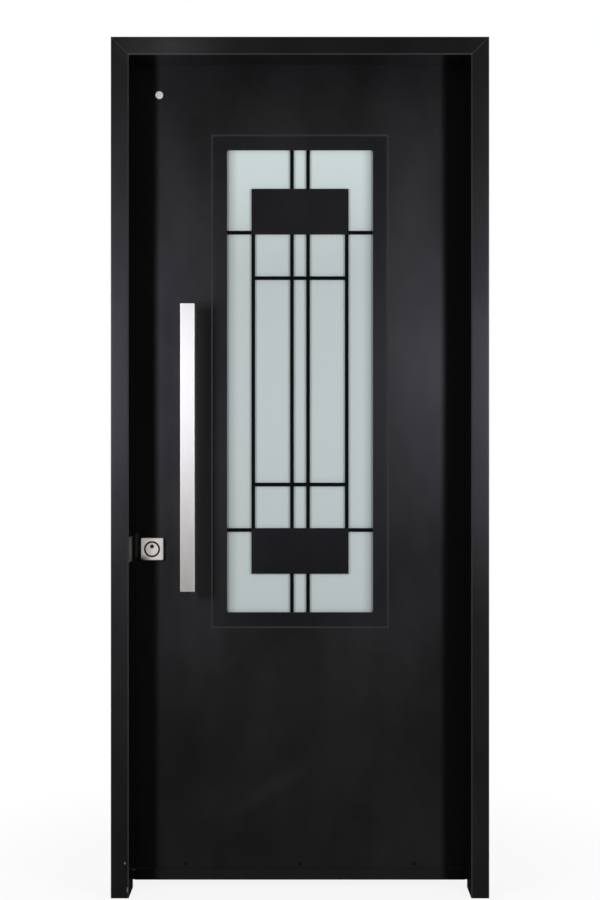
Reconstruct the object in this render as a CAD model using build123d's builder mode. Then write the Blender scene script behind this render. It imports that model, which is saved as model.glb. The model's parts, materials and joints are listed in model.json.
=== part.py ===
from build123d import *
import os

# Steel security door, right-hand hung, opening inwards, in its folded frame.
# Millimetres, +Z up, outside towards -Y, hinges on +X, lock on -X.
# The origin is on the floor, half way across, and half way through the whole depth.

# Frame
frame_width = 914.0
frame_height = 2080.0
frame_face = 43.5
frame_front = -100.0
frame_back = 42.0
frame_sheet = 2.0
return_lip = 18.0
stop_face = -14.0
stop_step = 18.0
lip_radius = 1.0
arris_radius = 3.5
fold_radius = 3.0

# Leaf
edge_gap = 3.0
head_gap = 3.5
floor_gap = 16.5
leaf_front = -10.0
leaf_thickness = 50.0
skin = 1.5
channel_sheet = 2.0
rail_height = 46.0
hinge_channel_width = 42.0
lock_channel_width = 52.0

# Window
window_width = 362.0
window_height = 1146.0
window_centre = 1252.5
window_corner = 5.0
bezel_width = 33.0
bezel_sheet = 2.0
recess_depth = 2.5
recess_gap = 2.0
recess_lip = 4.0
glass_overlap = 8.5
pane = 6.0
pane_gap = 12.0
gasket = 2.0

# Grille, measured from the middle of the window
grille_sheet = 3.0
bar_width = 9.0
inner_bar = 20.0
outer_bar = 116.0
cross_bar = 256.1
plate_near = 364.4
plate_far = 477.7

# Pull handle
pull_x = -274.0
pull_z = 1088.0
pull_length = 700.0
pull_width = 35.0
pull_depth = 20.0
pull_wall = 1.5
pull_front = -80.0
pull_post_inset = 90.0
post_radius = 10.0
post_foot_radius = 13.0
post_foot_height = 3.0
pull_corner = 3.0
pull_cap = 4.0
handle_bolt = 8.0
bolt_head_radius = 9.0
bolt_head_rim = 2.0
bolt_head_height = 5.5
bolt_engagement = 22.0

# Lock
backset = 62.5
rosette_z = 836.7
plug_rise = 6.7
rosette_width = 55.0
rosette_height = 54.0
rosette_depth = 10.0
rosette_wall = 5.0
groove_outer = 40.0
groove_inner = 31.0
key_hole = 10.0
plug_diameter = 13.0
barrel_diameter = 17.0
profile_web = 10.0
profile_drop = 19.5
lever_pitch = 85.0
case_depth = 90.0
case_thickness = 24.0
case_bottom = 690.0
case_top = 970.0
case_wall = 1.5
faceplate = 3.0
faceplate_reach = 15.0
bolt_diameter = 16.0
bolt_heights = (730.0, 765.0, 800.0)
bolt_length = 36.0
bolt_inset = 0.5
carriage_sheet = 8.0
carriage_depth = 19.0
rod_x = -395.0
rod_diameter = 10.0
rod_tip_diameter = 14.0
rod_tip_length = 70.0
latch_height = 18.0
latch_depth = 14.0
latch_length = 26.0
latch_stem = 20.0
latch_stem_diameter = 8.0
guard_groove = 2.5
guard_corner = 3.0
guard_chamfer = 1.6
knob_back = 9.0
plug_collar = 8.0
rosette_radius = 26.0
rosette_edge = 2.5
spindle = 8.0
spindle_reach = 10.0
lever_neck = 18.0
lever_clear = 0.1
lever_length = 118.0
lever_tip = 14.0
lever_depth = 12.0
lever_back = 100.0
lever_edge = 3.0
follower_diameter = 13.4
turn_disc = 30.0
turn_disc_depth = 5.0
turn_length = 34.0
turn_width = 9.0
turn_depth = 16.0
turn_edge = 2.0
cam_half = 5.0
cam_nose = 15.0
cam_width = 8.0
cam_clear = 0.8
key_slot_width = 2.2
key_slot_height = 8.4
key_slot_depth = 18.0

# Hinges and dog pins
hinge_axis_x = 430.0
knuckle_radius = 11.0
knuckle_height = 140.0
hinge_pin = 12.0
hinge_wing = 5.0
hinge_spread = 773.0
dog_spread = 386.5
dog_diameter = 14.0
dog_length = 11.5

# Wall anchors
anchor_heights = (300.0, 1040.0, 1780.0)
anchor_width = 40.0
anchor_sheet = 3.0
anchor_hole = 11.0

# Screws and their holes
lock_screw = (4.0, 7.4)
lock_screw_hole = 4.2
lock_sink = (2.1, 3.9)
strike_screw_length = 14.0
faceplate_screw_length = 16.0
bezel_screw = (3.5, 6.4)
bezel_screw_length = 12.0
bezel_sink = (1.85, 3.4)
bottom_head = 7.5
bottom_head_height = 2.0
bottom_head_edge = 1.2
bottom_shank = 4.0
bottom_screw_length = 12.0

# Seal and trims
seal_cover = 3.5
seal_inset = 4.5
seal_foot = 2.0
seal_clear = 0.3
seal_edge = 1.5
wear_height = 61.0
wear_length = 56.0
wear_sheet = 1.0
wear_corner = 3.0
strip_height = 28.5
strip_sheet = 1.5
strip_gap = 4.0
trim_chamfer = 0.6
badge_diameter = 19.0
badge_sheet = 1.5
badge_x = -349.0
badge_z = 1962.0

# Clearances
fit = 0.2
running_fit = 0.02
hole_play = 0.6
bolt_play = 0.8
overcut = 1.0

# Worked out from the above
half_width = frame_width / 2
reveal_x = half_width - frame_face
rebate_x = reveal_x + stop_step
soffit_z = frame_height - frame_face
rebate_z = soffit_z + stop_step
leaf_half = rebate_x - edge_gap
leaf_bottom = floor_gap
leaf_top = rebate_z - head_gap
leaf_back = leaf_front + leaf_thickness
leaf_middle = (leaf_bottom + leaf_top) / 2
skin_back = leaf_back - skin
lock_y = (leaf_front + leaf_back) / 2
lock_x = -(leaf_half - backset)
plug_z = rosette_z + plug_rise
lever_z = plug_z + lever_pitch
case_front = -(leaf_half - faceplate)
case_back = case_front + case_depth
hinge_axis_y = frame_back + knuckle_radius
hinge_heights = (leaf_middle - hinge_spread, leaf_middle, leaf_middle + hinge_spread)
dog_heights = (leaf_middle - dog_spread, leaf_middle + dog_spread)
recess_floor = leaf_front + recess_depth
bezel_front = recess_floor - bezel_sheet
grille_back = recess_floor + grille_sheet
glass_front = grille_back + gasket
spacer_front = glass_front + pane
glass_inner_front = spacer_front + pane_gap
glass_back = glass_inner_front + pane
liner_half = window_width / 2 + 11.0
liner_half_z = window_height / 2 + 11.0

os.makedirs("parts", exist_ok=True)


def upright(y):
    """The upright plane at this depth, whose normal points out of the front."""
    return Plane.XZ.offset(-y)


def block(low, high, mode=Mode.ADD):
    """A box between two corners, in the part being built."""
    with Locations(tuple((a + b) / 2 for a, b in zip(low, high))):
        Box(*[b - a for a, b in zip(low, high)], mode=mode)


def pin_along_x(x0, x1, y, z, diameter, mode=Mode.ADD):
    """A round bar or hole that runs along X."""
    with Locations(Location(((x0 + x1) / 2, y, z), (0, 90, 0))):
        Cylinder(diameter / 2, x1 - x0, mode=mode)


def pin_along_y(x, y0, y1, z, diameter, mode=Mode.ADD):
    """A round bar or hole that runs along Y."""
    with Locations(Location((x, (y0 + y1) / 2, z), (90, 0, 0))):
        Cylinder(diameter / 2, y1 - y0, mode=mode)


def pin_along_z(x, y, z0, z1, diameter, mode=Mode.ADD):
    """A round bar or hole that runs along Z."""
    with Locations((x, y, (z0 + z1) / 2)):
        Cylinder(diameter / 2, z1 - z0, mode=mode)


def window_ring(outer_grow, inner_grow, corner=0.0):
    """A flat ring round the window, by how far it grows beyond the daylight opening."""
    with Locations((0, window_centre)):
        Rectangle(window_width + 2 * outer_grow, window_height + 2 * outer_grow)
        if corner:
            RectangleRounded(window_width + 2 * inner_grow, window_height + 2 * inner_grow,
                             corner, mode=Mode.SUBTRACT)
        else:
            Rectangle(window_width + 2 * inner_grow, window_height + 2 * inner_grow,
                      mode=Mode.SUBTRACT)


def euro_profile(margin, mode=Mode.ADD):
    """The keyhole section of the lock cylinder, grown by a margin."""
    with Locations((lock_x, plug_z)):
        Circle(barrel_diameter / 2 + margin, mode=mode)
    with Locations((lock_x, plug_z - profile_drop / 2)):
        Rectangle(profile_web + 2 * margin, profile_drop, mode=mode)
    with Locations((lock_x, plug_z - profile_drop)):
        Circle(profile_web / 2 + margin, mode=mode)


def screw(top, shank, head, length):
    """A countersunk screw: its head is flush in the plane, and it points down the normal."""
    with BuildSketch(Plane(origin=top.origin, x_dir=top.x_dir, z_dir=-top.y_dir)) as half:
        with BuildLine():
            Polyline((0, 0), (head / 2, 0), (shank / 2, (shank - head) / 2),
                     (shank / 2, -length), (0, -length), close=True)
        make_face()
    revolve(half.sketch, axis=Axis(top.origin, top.z_dir))


# Frame: one folded section, run up each jamb and across the head, mitred at 45 degrees.
section = (
    (0, frame_front + return_lip),
    (0, frame_front),
    (frame_face, frame_front),
    (frame_face, stop_face),
    (frame_face - stop_step, stop_face),
    (frame_face - stop_step, frame_back),
    (0, frame_back),
    (0, frame_back - return_lip),
)
section_radii = [fold_radius, arris_radius, fold_radius, lip_radius, fold_radius, fold_radius]
lock_mitre = Plane(origin=(-half_width, 0, frame_height), z_dir=(1, 0, 1))
hinge_mitre = Plane(origin=(half_width, 0, frame_height), z_dir=(-1, 0, 1))
case_low = lock_y - case_thickness / 2
case_high = lock_y + case_thickness / 2
strike_low = (-rebate_x - 2 * frame_sheet, case_low, case_bottom)
strike_high = (-rebate_x + frame_sheet, case_high, case_top)
keeper_length = 50.0
keeper_low = (rod_x - keeper_length / 2, case_low, rebate_z - frame_sheet)
keeper_high = (rod_x + keeper_length / 2, case_high, rebate_z + 2 * frame_sheet)
dog_clearance = dog_diameter + 6.0

with BuildPart() as frame_jamb_lock:
    with BuildSketch(Plane.XY):
        with BuildLine():
            FilletPolyline(*[(u - half_width, y) for u, y in section], radius=section_radii)
            offset(amount=frame_sheet, side=Side.LEFT)
        make_face()
    extrude(amount=frame_height)
    split(bisect_by=lock_mitre, keep=Keep.BOTTOM)
    block([v - fit for v in strike_low], [v + fit for v in strike_high], mode=Mode.SUBTRACT)
frame_jamb_lock.part.label = "frame_jamb_lock"
export_step(frame_jamb_lock.part, "parts/frame_jamb_lock.step")

with BuildPart() as frame_jamb_hinge:
    with BuildSketch(Plane.XY):
        with BuildLine():
            FilletPolyline(*[(half_width - u, y) for u, y in section], radius=section_radii)
            offset(amount=frame_sheet, side=Side.RIGHT)
        make_face()
    extrude(amount=frame_height)
    split(bisect_by=hinge_mitre, keep=Keep.BOTTOM)
    for height in dog_heights:
        pin_along_x(rebate_x - overcut, rebate_x + frame_sheet + overcut, lock_y, height,
                    dog_clearance, mode=Mode.SUBTRACT)
frame_jamb_hinge.part.label = "frame_jamb_hinge"
export_step(frame_jamb_hinge.part, "parts/frame_jamb_hinge.step")

with BuildPart() as frame_head:
    with BuildSketch(Plane.YZ.offset(-half_width)):
        with BuildLine():
            FilletPolyline(*[(y, frame_height - u) for u, y in section], radius=section_radii)
            offset(amount=frame_sheet, side=Side.LEFT)
        make_face()
    extrude(amount=frame_width)
    split(bisect_by=lock_mitre, keep=Keep.TOP)
    split(bisect_by=hinge_mitre, keep=Keep.TOP)
    block([v - fit for v in keeper_low], [v + fit for v in keeper_high], mode=Mode.SUBTRACT)
frame_head.part.label = "frame_head"
export_step(frame_head.part, "parts/frame_head.step")

# Wall anchors: flat straps welded across the open back of each jamb.
with BuildPart() as wall_anchors:
    for side in (-1, 1):
        outer = side * (half_width - frame_sheet)
        inner = side * (half_width - frame_sheet - anchor_sheet)
        for height in anchor_heights:
            block((min(outer, inner), frame_front + fold_radius + fit, height - anchor_width / 2),
                  (max(outer, inner), frame_back - fold_radius - fit, height + anchor_width / 2))
            pin_along_x(min(outer, inner) - overcut, max(outer, inner) + overcut,
                        (frame_front + frame_back) / 2, height, anchor_hole, mode=Mode.SUBTRACT)
wall_anchors.part.label = "wall_anchors"
export_step(wall_anchors.part, "parts/wall_anchors.step")

# Rubber seal in the stop, up both jambs and across the head.
seal_outer = rebate_x - seal_inset
seal_inner = reveal_x + seal_cover
seal_top = rebate_z - seal_inset
with BuildPart() as stop_seal:
    with BuildSketch(upright(stop_face)):
        with Locations((0, (seal_top + seal_foot) / 2)):
            Rectangle(2 * seal_outer, seal_top - seal_foot)
        with Locations((0, (soffit_z + seal_cover) / 2)):
            Rectangle(2 * seal_inner, soffit_z + seal_cover, mode=Mode.SUBTRACT)
    extrude(amount=-(leaf_front - stop_face - seal_clear))
    fillet(stop_seal.edges().group_by(Axis.Y)[-1], radius=seal_edge)
stop_seal.part.label = "stop_seal"
export_step(stop_seal.part, "parts/stop_seal.step")

# Strike: a plate let into the jamb, screwed to lugs in a box behind it.
strike_screw_heights = (case_bottom + 8.0, case_top - 8.0)
latch_low = (lock_y - latch_depth / 2, lever_z - latch_height / 2)
latch_high = (lock_y + latch_depth / 2, lever_z + latch_height / 2)
latch_play = 2.0
strike_cut = 5.0
with BuildPart() as strike_plate:
    block((-rebate_x - frame_sheet, strike_low[1], case_bottom),
          (-rebate_x, strike_high[1], case_top))
    for height in bolt_heights:
        pin_along_x(-rebate_x - strike_cut, -rebate_x + strike_cut, lock_y, height,
                    bolt_diameter + latch_play, mode=Mode.SUBTRACT)
    block((-rebate_x - strike_cut, latch_low[0] - latch_play, latch_low[1] - latch_play),
          (-rebate_x + strike_cut, latch_high[0] + latch_play, latch_high[1] + latch_play),
          mode=Mode.SUBTRACT)
    with Locations(*[Location((-rebate_x, lock_y, height), (0, 90, 0))
                     for height in strike_screw_heights]):
        CounterSinkHole(*lock_sink, depth=frame_sheet + overcut)
strike_plate.part.label = "strike_plate"
export_step(strike_plate.part, "parts/strike_plate.step")

box_depth = 21.5
box_wall = 2.0
box_cover = 4.0
lug_height = 14.0
lug_depth = 10.0
box_face = -rebate_x - frame_sheet
box_back = box_face - box_depth
box_front_y = strike_low[1] - box_cover
box_back_y = strike_high[1] + box_cover
with BuildPart() as strike_box:
    block((box_back, box_front_y, case_bottom - box_cover),
          (box_face, box_back_y, case_top + box_cover))
    block((box_back + box_wall, box_front_y + box_wall, case_bottom + lug_height),
          (box_face, box_back_y - box_wall, case_top - lug_height), mode=Mode.SUBTRACT)
    for low, high in ((case_bottom - box_wall, case_bottom + lug_height),
                      (case_top - lug_height, case_top + box_wall)):
        block((box_back + box_wall, box_front_y + box_wall, low),
              (box_face - lug_depth, box_back_y - box_wall, high), mode=Mode.SUBTRACT)
    for height in strike_screw_heights:
        pin_along_x(box_face - lug_depth - box_wall, -rebate_x, lock_y, height,
                    lock_screw_hole, mode=Mode.SUBTRACT)
strike_box.part.label = "strike_box"
export_step(strike_box.part, "parts/strike_box.step")

with BuildPart() as strike_screws:
    for height in strike_screw_heights:
        screw(Plane(origin=(-rebate_x, lock_y, height), z_dir=(1, 0, 0)), *lock_screw,
              strike_screw_length)
strike_screws.part.label = "strike_screws"
export_step(strike_screws.part, "parts/strike_screws.step")

with BuildPart() as head_keeper:
    block((keeper_low[0], keeper_low[1], rebate_z),
          (keeper_high[0], keeper_high[1], rebate_z + frame_sheet))
    pin_along_z(rod_x, lock_y, rebate_z - overcut, rebate_z + 2 * frame_sheet,
                rod_tip_diameter + latch_play, mode=Mode.SUBTRACT)
head_keeper.part.label = "head_keeper"
export_step(head_keeper.part, "parts/head_keeper.step")

# Hinge side: keeper rings behind the jamb for the leaf's fixed dog pins.
keeper_half = 20.0
keeper_sheet = 4.0
with BuildPart() as dog_pin_keepers:
    for height in dog_heights:
        block((rebate_x + frame_sheet, lock_y - keeper_half, height - keeper_half),
              (rebate_x + frame_sheet + keeper_sheet, lock_y + keeper_half, height + keeper_half))
        pin_along_x(rebate_x, rebate_x + 2 * keeper_sheet, lock_y, height, dog_clearance,
                    mode=Mode.SUBTRACT)
dog_pin_keepers.part.label = "dog_pin_keepers"
export_step(dog_pin_keepers.part, "parts/dog_pin_keepers.step")

# Stainless plate on the reveal beside the lock, where hands and keys rub.
wear_z = rosette_z + 4.0
with BuildPart() as jamb_wear_plate:
    with BuildSketch(Plane.YZ.offset(-reveal_x)):
        with Locations((frame_front + arris_radius + wear_length / 2, wear_z)):
            RectangleRounded(wear_length, wear_height, wear_corner)
    extrude(amount=wear_sheet)
jamb_wear_plate.part.label = "jamb_wear_plate"
export_step(jamb_wear_plate.part, "parts/jamb_wear_plate.step")

# Hinges: a welded lower knuckle on the jamb, an upper one on the leaf, and a collared pin.
knuckle_gap = 0.5
knuckle_edge = 2.0
wing_step = 4.0
bore_step = 6.0
pin_short = 8.0
collar_diameter = 17.0
collar_play = 0.2
pin_bore = hinge_pin + 0.2
wing_reach = 25.0
leaf_wing_reach = 36.0
half_knuckle = knuckle_height / 2
hinge_places = zip(("bottom", "middle", "top"), hinge_heights)
for place, height in hinge_places:
    with BuildPart() as frame_knuckle:
        pin_along_z(hinge_axis_x, hinge_axis_y, height - half_knuckle, height - knuckle_gap,
                    2 * knuckle_radius)
        block((hinge_axis_x, frame_back, height - half_knuckle + wing_step),
              (hinge_axis_x + wing_reach, frame_back + hinge_wing, height - wing_step))
        fillet(frame_knuckle.faces().sort_by(Axis.Z)[0].edges(), radius=knuckle_edge)
        pin_along_z(hinge_axis_x, hinge_axis_y, height - half_knuckle + bore_step,
                    height + overcut, hinge_pin + running_fit, mode=Mode.SUBTRACT)
    frame_knuckle.part.label = f"hinge_frame_{place}"
    export_step(frame_knuckle.part, f"parts/hinge_frame_{place}.step")

    with BuildPart() as leaf_knuckle:
        pin_along_z(hinge_axis_x, hinge_axis_y, height + knuckle_gap, height + half_knuckle,
                    2 * knuckle_radius)
        block((hinge_axis_x - leaf_wing_reach, leaf_back, height + wing_step),
              (hinge_axis_x, leaf_back + hinge_wing, height + half_knuckle - wing_step))
        fillet(leaf_knuckle.faces().sort_by(Axis.Z)[-1].edges(), radius=knuckle_edge)
        pin_along_z(hinge_axis_x, hinge_axis_y, height - overcut,
                    height + half_knuckle - bore_step, pin_bore, mode=Mode.SUBTRACT)
    leaf_knuckle.part.label = f"hinge_leaf_{place}"
    export_step(leaf_knuckle.part, f"parts/hinge_leaf_{place}.step")

with BuildPart() as hinge_pins:
    for height in hinge_heights:
        pin_along_z(hinge_axis_x, hinge_axis_y, height - half_knuckle + bore_step,
                    height + half_knuckle - pin_short, hinge_pin)
        pin_along_z(hinge_axis_x, hinge_axis_y, height - knuckle_gap,
                    height + knuckle_gap - collar_play, collar_diameter)
hinge_pins.part.label = "hinge_pins"
export_step(hinge_pins.part, "parts/hinge_pins.step")

# Leaf skins: a folded tray outside with a pressed recess round the window, a flat sheet inside.
faceplate_low = case_bottom - faceplate_reach
faceplate_high = case_top + faceplate_reach
bottom_screw_z = 56.0
bottom_screw_xs = (-284.0, 0.0, 284.0)
post_heights = (pull_z - pull_length / 2 + pull_post_inset,
                pull_z + pull_length / 2 - pull_post_inset)
bezel_screw_x = window_width / 2 + 22.0
bezel_screw_reach = window_height / 2 + 22.0
bezel_screw_places = (
    [(side * bezel_screw_x, window_centre + step * bezel_screw_reach / 2.5)
     for side in (-1, 1) for step in (-2, -1, 0, 1, 2)]
    + [(side * 100.0, window_centre + end * bezel_screw_reach)
       for side in (-1, 1) for end in (-1, 1)]
)
recess_grow = bezel_width + recess_gap
recess_corner = 5.0
recess_slope = 58.0
cutout_grow = liner_half - window_width / 2
skin_cut = 3.0
tray_edge = 2.0
cylinder_cut = 0.5

with BuildPart() as leaf_outer_skin:
    block((-leaf_half, leaf_front, leaf_bottom), (leaf_half, skin_back, leaf_top))
    fillet(leaf_outer_skin.faces().sort_by(Axis.Y)[0].edges(), radius=tray_edge)
    block((-leaf_half + skin, leaf_front + skin, leaf_bottom + skin),
          (leaf_half - skin, skin_back + overcut, leaf_top - skin), mode=Mode.SUBTRACT)
    with BuildSketch(upright(leaf_front + skin)):
        window_ring(recess_grow + recess_lip + skin, cutout_grow)
    extrude(amount=-recess_depth)
    with BuildSketch(upright(leaf_front)):
        with Locations((0, window_centre)):
            RectangleRounded(window_width + 2 * (recess_grow + recess_lip),
                             window_height + 2 * (recess_grow + recess_lip), recess_corner)
    extrude(amount=-recess_depth, taper=recess_slope, mode=Mode.SUBTRACT)
    with BuildSketch(upright(leaf_front - overcut)):
        with Locations((0, window_centre)):
            Rectangle(2 * liner_half, 2 * liner_half_z)
    extrude(amount=-10, mode=Mode.SUBTRACT)
    with BuildSketch(upright(leaf_front - overcut)):
        euro_profile(cylinder_cut)
    extrude(amount=-skin - 2 * overcut, mode=Mode.SUBTRACT)
    for height in post_heights:
        pin_along_y(pull_x, leaf_front - overcut, leaf_front + skin_cut, height,
                    handle_bolt + hole_play, mode=Mode.SUBTRACT)
    for x in bottom_screw_xs:
        pin_along_y(x, leaf_front - overcut, leaf_front + skin_cut, bottom_screw_z,
                    lock_screw_hole, mode=Mode.SUBTRACT)
    block((-leaf_half - overcut, case_low - fit, faceplate_low - fit),
          (-leaf_half + skin_cut, case_high + fit, faceplate_high + fit), mode=Mode.SUBTRACT)
    for height in dog_heights:
        pin_along_x(leaf_half - skin_cut, leaf_half + overcut, lock_y, height,
                    dog_diameter + fit, mode=Mode.SUBTRACT)
    for end in (leaf_bottom, leaf_top):
        pin_along_z(rod_x, lock_y, end - skin_cut, end + skin_cut, rod_tip_diameter + hole_play,
                    mode=Mode.SUBTRACT)
leaf_outer_skin.part.label = "leaf_outer_skin"
export_step(leaf_outer_skin.part, "parts/leaf_outer_skin.step")

with BuildPart() as leaf_inner_skin:
    with BuildSketch(upright(skin_back)):
        with Locations((0, leaf_middle)):
            Rectangle(2 * leaf_half, leaf_top - leaf_bottom)
        with Locations((0, window_centre)):
            Rectangle(2 * liner_half, 2 * liner_half_z, mode=Mode.SUBTRACT)
        euro_profile(cylinder_cut, mode=Mode.SUBTRACT)
        with Locations((lock_x, lever_z)):
            Circle(lever_neck / 2 + overcut, mode=Mode.SUBTRACT)
        with Locations(*[(pull_x, height) for height in post_heights]):
            Circle((handle_bolt + hole_play) / 2, mode=Mode.SUBTRACT)
        with Locations(*bezel_screw_places):
            Circle(bezel_sink[0], mode=Mode.SUBTRACT)
    extrude(amount=-skin)
leaf_inner_skin.part.label = "leaf_inner_skin"
export_step(leaf_inner_skin.part, "parts/leaf_inner_skin.step")

# Folded channels inside the leaf.
inside_front = leaf_front + skin
inside_back = skin_back
rail_bottom_top = leaf_bottom + skin + rail_height
rail_top_bottom = leaf_top - skin - rail_height
rail_half = leaf_half - skin

with BuildPart() as rail_bottom:
    block((-rail_half, inside_front, leaf_bottom + skin), (rail_half, inside_back, rail_bottom_top))
    block((-rail_half - overcut, inside_front + channel_sheet,
           leaf_bottom + skin + channel_sheet),
          (rail_half + overcut, inside_back - channel_sheet, rail_bottom_top + overcut),
          mode=Mode.SUBTRACT)
    pin_along_z(rod_x, lock_y, leaf_bottom, leaf_bottom + 2 * skin_cut,
                rod_tip_diameter + hole_play, mode=Mode.SUBTRACT)
    for x in bottom_screw_xs:
        pin_along_y(x, inside_front - overcut, inside_front + skin_cut, bottom_screw_z,
                    lock_screw_hole, mode=Mode.SUBTRACT)
rail_bottom.part.label = "rail_bottom"
export_step(rail_bottom.part, "parts/rail_bottom.step")

with BuildPart() as rail_top:
    block((-rail_half, inside_front, rail_top_bottom), (rail_half, inside_back, leaf_top - skin))
    block((-rail_half - overcut, inside_front + channel_sheet, rail_top_bottom - overcut),
          (rail_half + overcut, inside_back - channel_sheet, leaf_top - skin - channel_sheet),
          mode=Mode.SUBTRACT)
    pin_along_z(rod_x, lock_y, leaf_top - 2 * skin_cut, leaf_top, rod_tip_diameter + hole_play,
                mode=Mode.SUBTRACT)
rail_top.part.label = "rail_top"
export_step(rail_top.part, "parts/rail_top.step")

with BuildPart() as stiffener_hinge:
    block((rail_half - hinge_channel_width, inside_front, rail_bottom_top),
          (rail_half, inside_back, rail_top_bottom))
    block((rail_half - hinge_channel_width - overcut, inside_front + channel_sheet, 0),
          (rail_half - channel_sheet, inside_back - channel_sheet, frame_height),
          mode=Mode.SUBTRACT)
    for height in dog_heights:
        pin_along_x(rail_half - 2 * channel_sheet, rail_half + overcut, lock_y, height,
                    dog_diameter + fit, mode=Mode.SUBTRACT)
stiffener_hinge.part.label = "stiffener_hinge"
export_step(stiffener_hinge.part, "parts/stiffener_hinge.step")

with BuildPart() as stiffener_lock:
    block((pull_x - lock_channel_width / 2, inside_front, rail_bottom_top),
          (pull_x + lock_channel_width / 2, inside_back, rail_top_bottom))
    block((pull_x - lock_channel_width / 2 + channel_sheet, inside_front + channel_sheet, 0),
          (pull_x + lock_channel_width, inside_back - channel_sheet, frame_height),
          mode=Mode.SUBTRACT)
    for height in post_heights:
        pin_along_y(pull_x, inside_front - overcut, inside_back + overcut, height,
                    handle_bolt + hole_play, mode=Mode.SUBTRACT)
stiffener_lock.part.label = "stiffener_lock"
export_step(stiffener_lock.part, "parts/stiffener_lock.step")

wool_gap = 2.0
with BuildPart() as mineral_wool:
    with BuildSketch(upright(recess_floor + skin + channel_sheet)):
        left = pull_x + lock_channel_width / 2 + wool_gap
        right = rail_half - hinge_channel_width - wool_gap
        with Locations(((left + right) / 2, (rail_bottom_top + rail_top_bottom) / 2)):
            Rectangle(right - left, rail_top_bottom - rail_bottom_top)
        with Locations((0, window_centre)):
            Rectangle(window_width + 2 * (bezel_width + wool_gap),
                      window_height + 2 * (bezel_width + wool_gap), mode=Mode.SUBTRACT)
    extrude(amount=recess_floor + skin + channel_sheet - inside_back)
mineral_wool.part.label = "mineral_wool"
export_step(mineral_wool.part, "parts/mineral_wool.step")

# Window: a folded liner between the skins, then bezel, grille, sealed unit and inner bezel.
bezel_edge = 0.8
grille_inset = 2.0
grille_cover = 1.0
gasket_inset = 0.5
gasket_show = 1.5
with BuildPart() as window_liner:
    with BuildSketch(upright(recess_floor + skin)):
        window_ring(cutout_grow + channel_sheet, cutout_grow)
    extrude(amount=recess_floor + skin - inside_back)
    for y in (recess_floor + skin, inside_back - channel_sheet):
        with BuildSketch(upright(y)):
            window_ring(bezel_width, cutout_grow)
        extrude(amount=-channel_sheet)
    for x, z in bezel_screw_places:
        pin_along_y(x, inside_back - skin_cut, inside_back + overcut, z, 2 * bezel_sink[0],
                    mode=Mode.SUBTRACT)
window_liner.part.label = "window_liner"
export_step(window_liner.part, "parts/window_liner.step")

with BuildPart() as window_bezel_outer:
    with BuildSketch(upright(bezel_front)):
        window_ring(bezel_width, 0, corner=window_corner)
    extrude(amount=-bezel_sheet)
    fillet(window_bezel_outer.faces().sort_by(Axis.Y)[0].edges(), radius=bezel_edge)
window_bezel_outer.part.label = "window_bezel_outer"
export_step(window_bezel_outer.part, "parts/window_bezel_outer.step")

with BuildPart() as window_grille:
    with BuildSketch(upright(recess_floor)):
        window_ring(cutout_grow - grille_inset, grille_cover)
        with Locations(*[(side * inner_bar, window_centre) for side in (-1, 1)]):
            Rectangle(bar_width, window_height + 4 * grille_cover)
        with Locations(*[(side * outer_bar, window_centre) for side in (-1, 1)]):
            Rectangle(bar_width, 2 * (plate_near + grille_cover))
        with Locations(*[(0, window_centre + end * cross_bar) for end in (-1, 1)]):
            Rectangle(2 * outer_bar, bar_width)
        with Locations(*[(0, window_centre + end * (plate_near + bar_width / 2))
                         for end in (-1, 1)]):
            Rectangle(window_width + 4 * grille_cover, bar_width)
        with Locations(*[(0, window_centre + end * (plate_near + plate_far) / 2)
                         for end in (-1, 1)]):
            Rectangle(2 * outer_bar + bar_width, plate_far - plate_near)
    extrude(amount=-grille_sheet)
window_grille.part.label = "window_grille"
export_step(window_grille.part, "parts/window_grille.step")

with BuildPart() as glazing_gasket_outer:
    with BuildSketch(upright(grille_back)):
        window_ring(glass_overlap - gasket_inset, gasket_show)
    extrude(amount=-gasket)
glazing_gasket_outer.part.label = "glazing_gasket_outer"
export_step(glazing_gasket_outer.part, "parts/glazing_gasket_outer.step")

with BuildPart() as glass_outer:
    with BuildSketch(upright(glass_front)):
        with Locations((0, window_centre)):
            Rectangle(window_width + 2 * glass_overlap, window_height + 2 * glass_overlap)
    extrude(amount=-pane)
glass_outer.part.label = "glass_outer"
export_step(glass_outer.part, "parts/glass_outer.step")

with BuildPart() as glass_spacer:
    with BuildSketch(upright(spacer_front)):
        window_ring(glass_overlap - 2 * gasket_inset, 2 * gasket_inset)
    extrude(amount=-pane_gap)
glass_spacer.part.label = "glass_spacer"
export_step(glass_spacer.part, "parts/glass_spacer.step")

with BuildPart() as glass_inner:
    with BuildSketch(upright(glass_inner_front)):
        with Locations((0, window_centre)):
            Rectangle(window_width + 2 * glass_overlap, window_height + 2 * glass_overlap)
    extrude(amount=-pane)
glass_inner.part.label = "glass_inner"
export_step(glass_inner.part, "parts/glass_inner.step")

with BuildPart() as glazing_gasket_inner:
    with BuildSketch(upright(glass_back)):
        window_ring(glass_overlap - gasket_inset, gasket_inset)
    extrude(amount=-gasket)
glazing_gasket_inner.part.label = "glazing_gasket_inner"
export_step(glazing_gasket_inner.part, "parts/glazing_gasket_inner.step")

with BuildPart() as window_bezel_inner:
    with BuildSketch(upright(leaf_back)):
        window_ring(bezel_width, 0, corner=window_corner)
    extrude(amount=-bezel_sheet)
    fillet(window_bezel_inner.faces().sort_by(Axis.Y)[-1].edges(), radius=bezel_edge)
    with BuildSketch(upright(glass_back + gasket)):
        window_ring(bezel_sheet, 0, corner=window_corner)
    extrude(amount=glass_back + gasket - leaf_back - overcut)
    with Locations(*[Location((x, leaf_back + bezel_sheet, z), (-90, 0, 0))
                     for x, z in bezel_screw_places]):
        CounterSinkHole(*bezel_sink, depth=bezel_sheet + overcut)
window_bezel_inner.part.label = "window_bezel_inner"
export_step(window_bezel_inner.part, "parts/window_bezel_inner.step")

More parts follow.
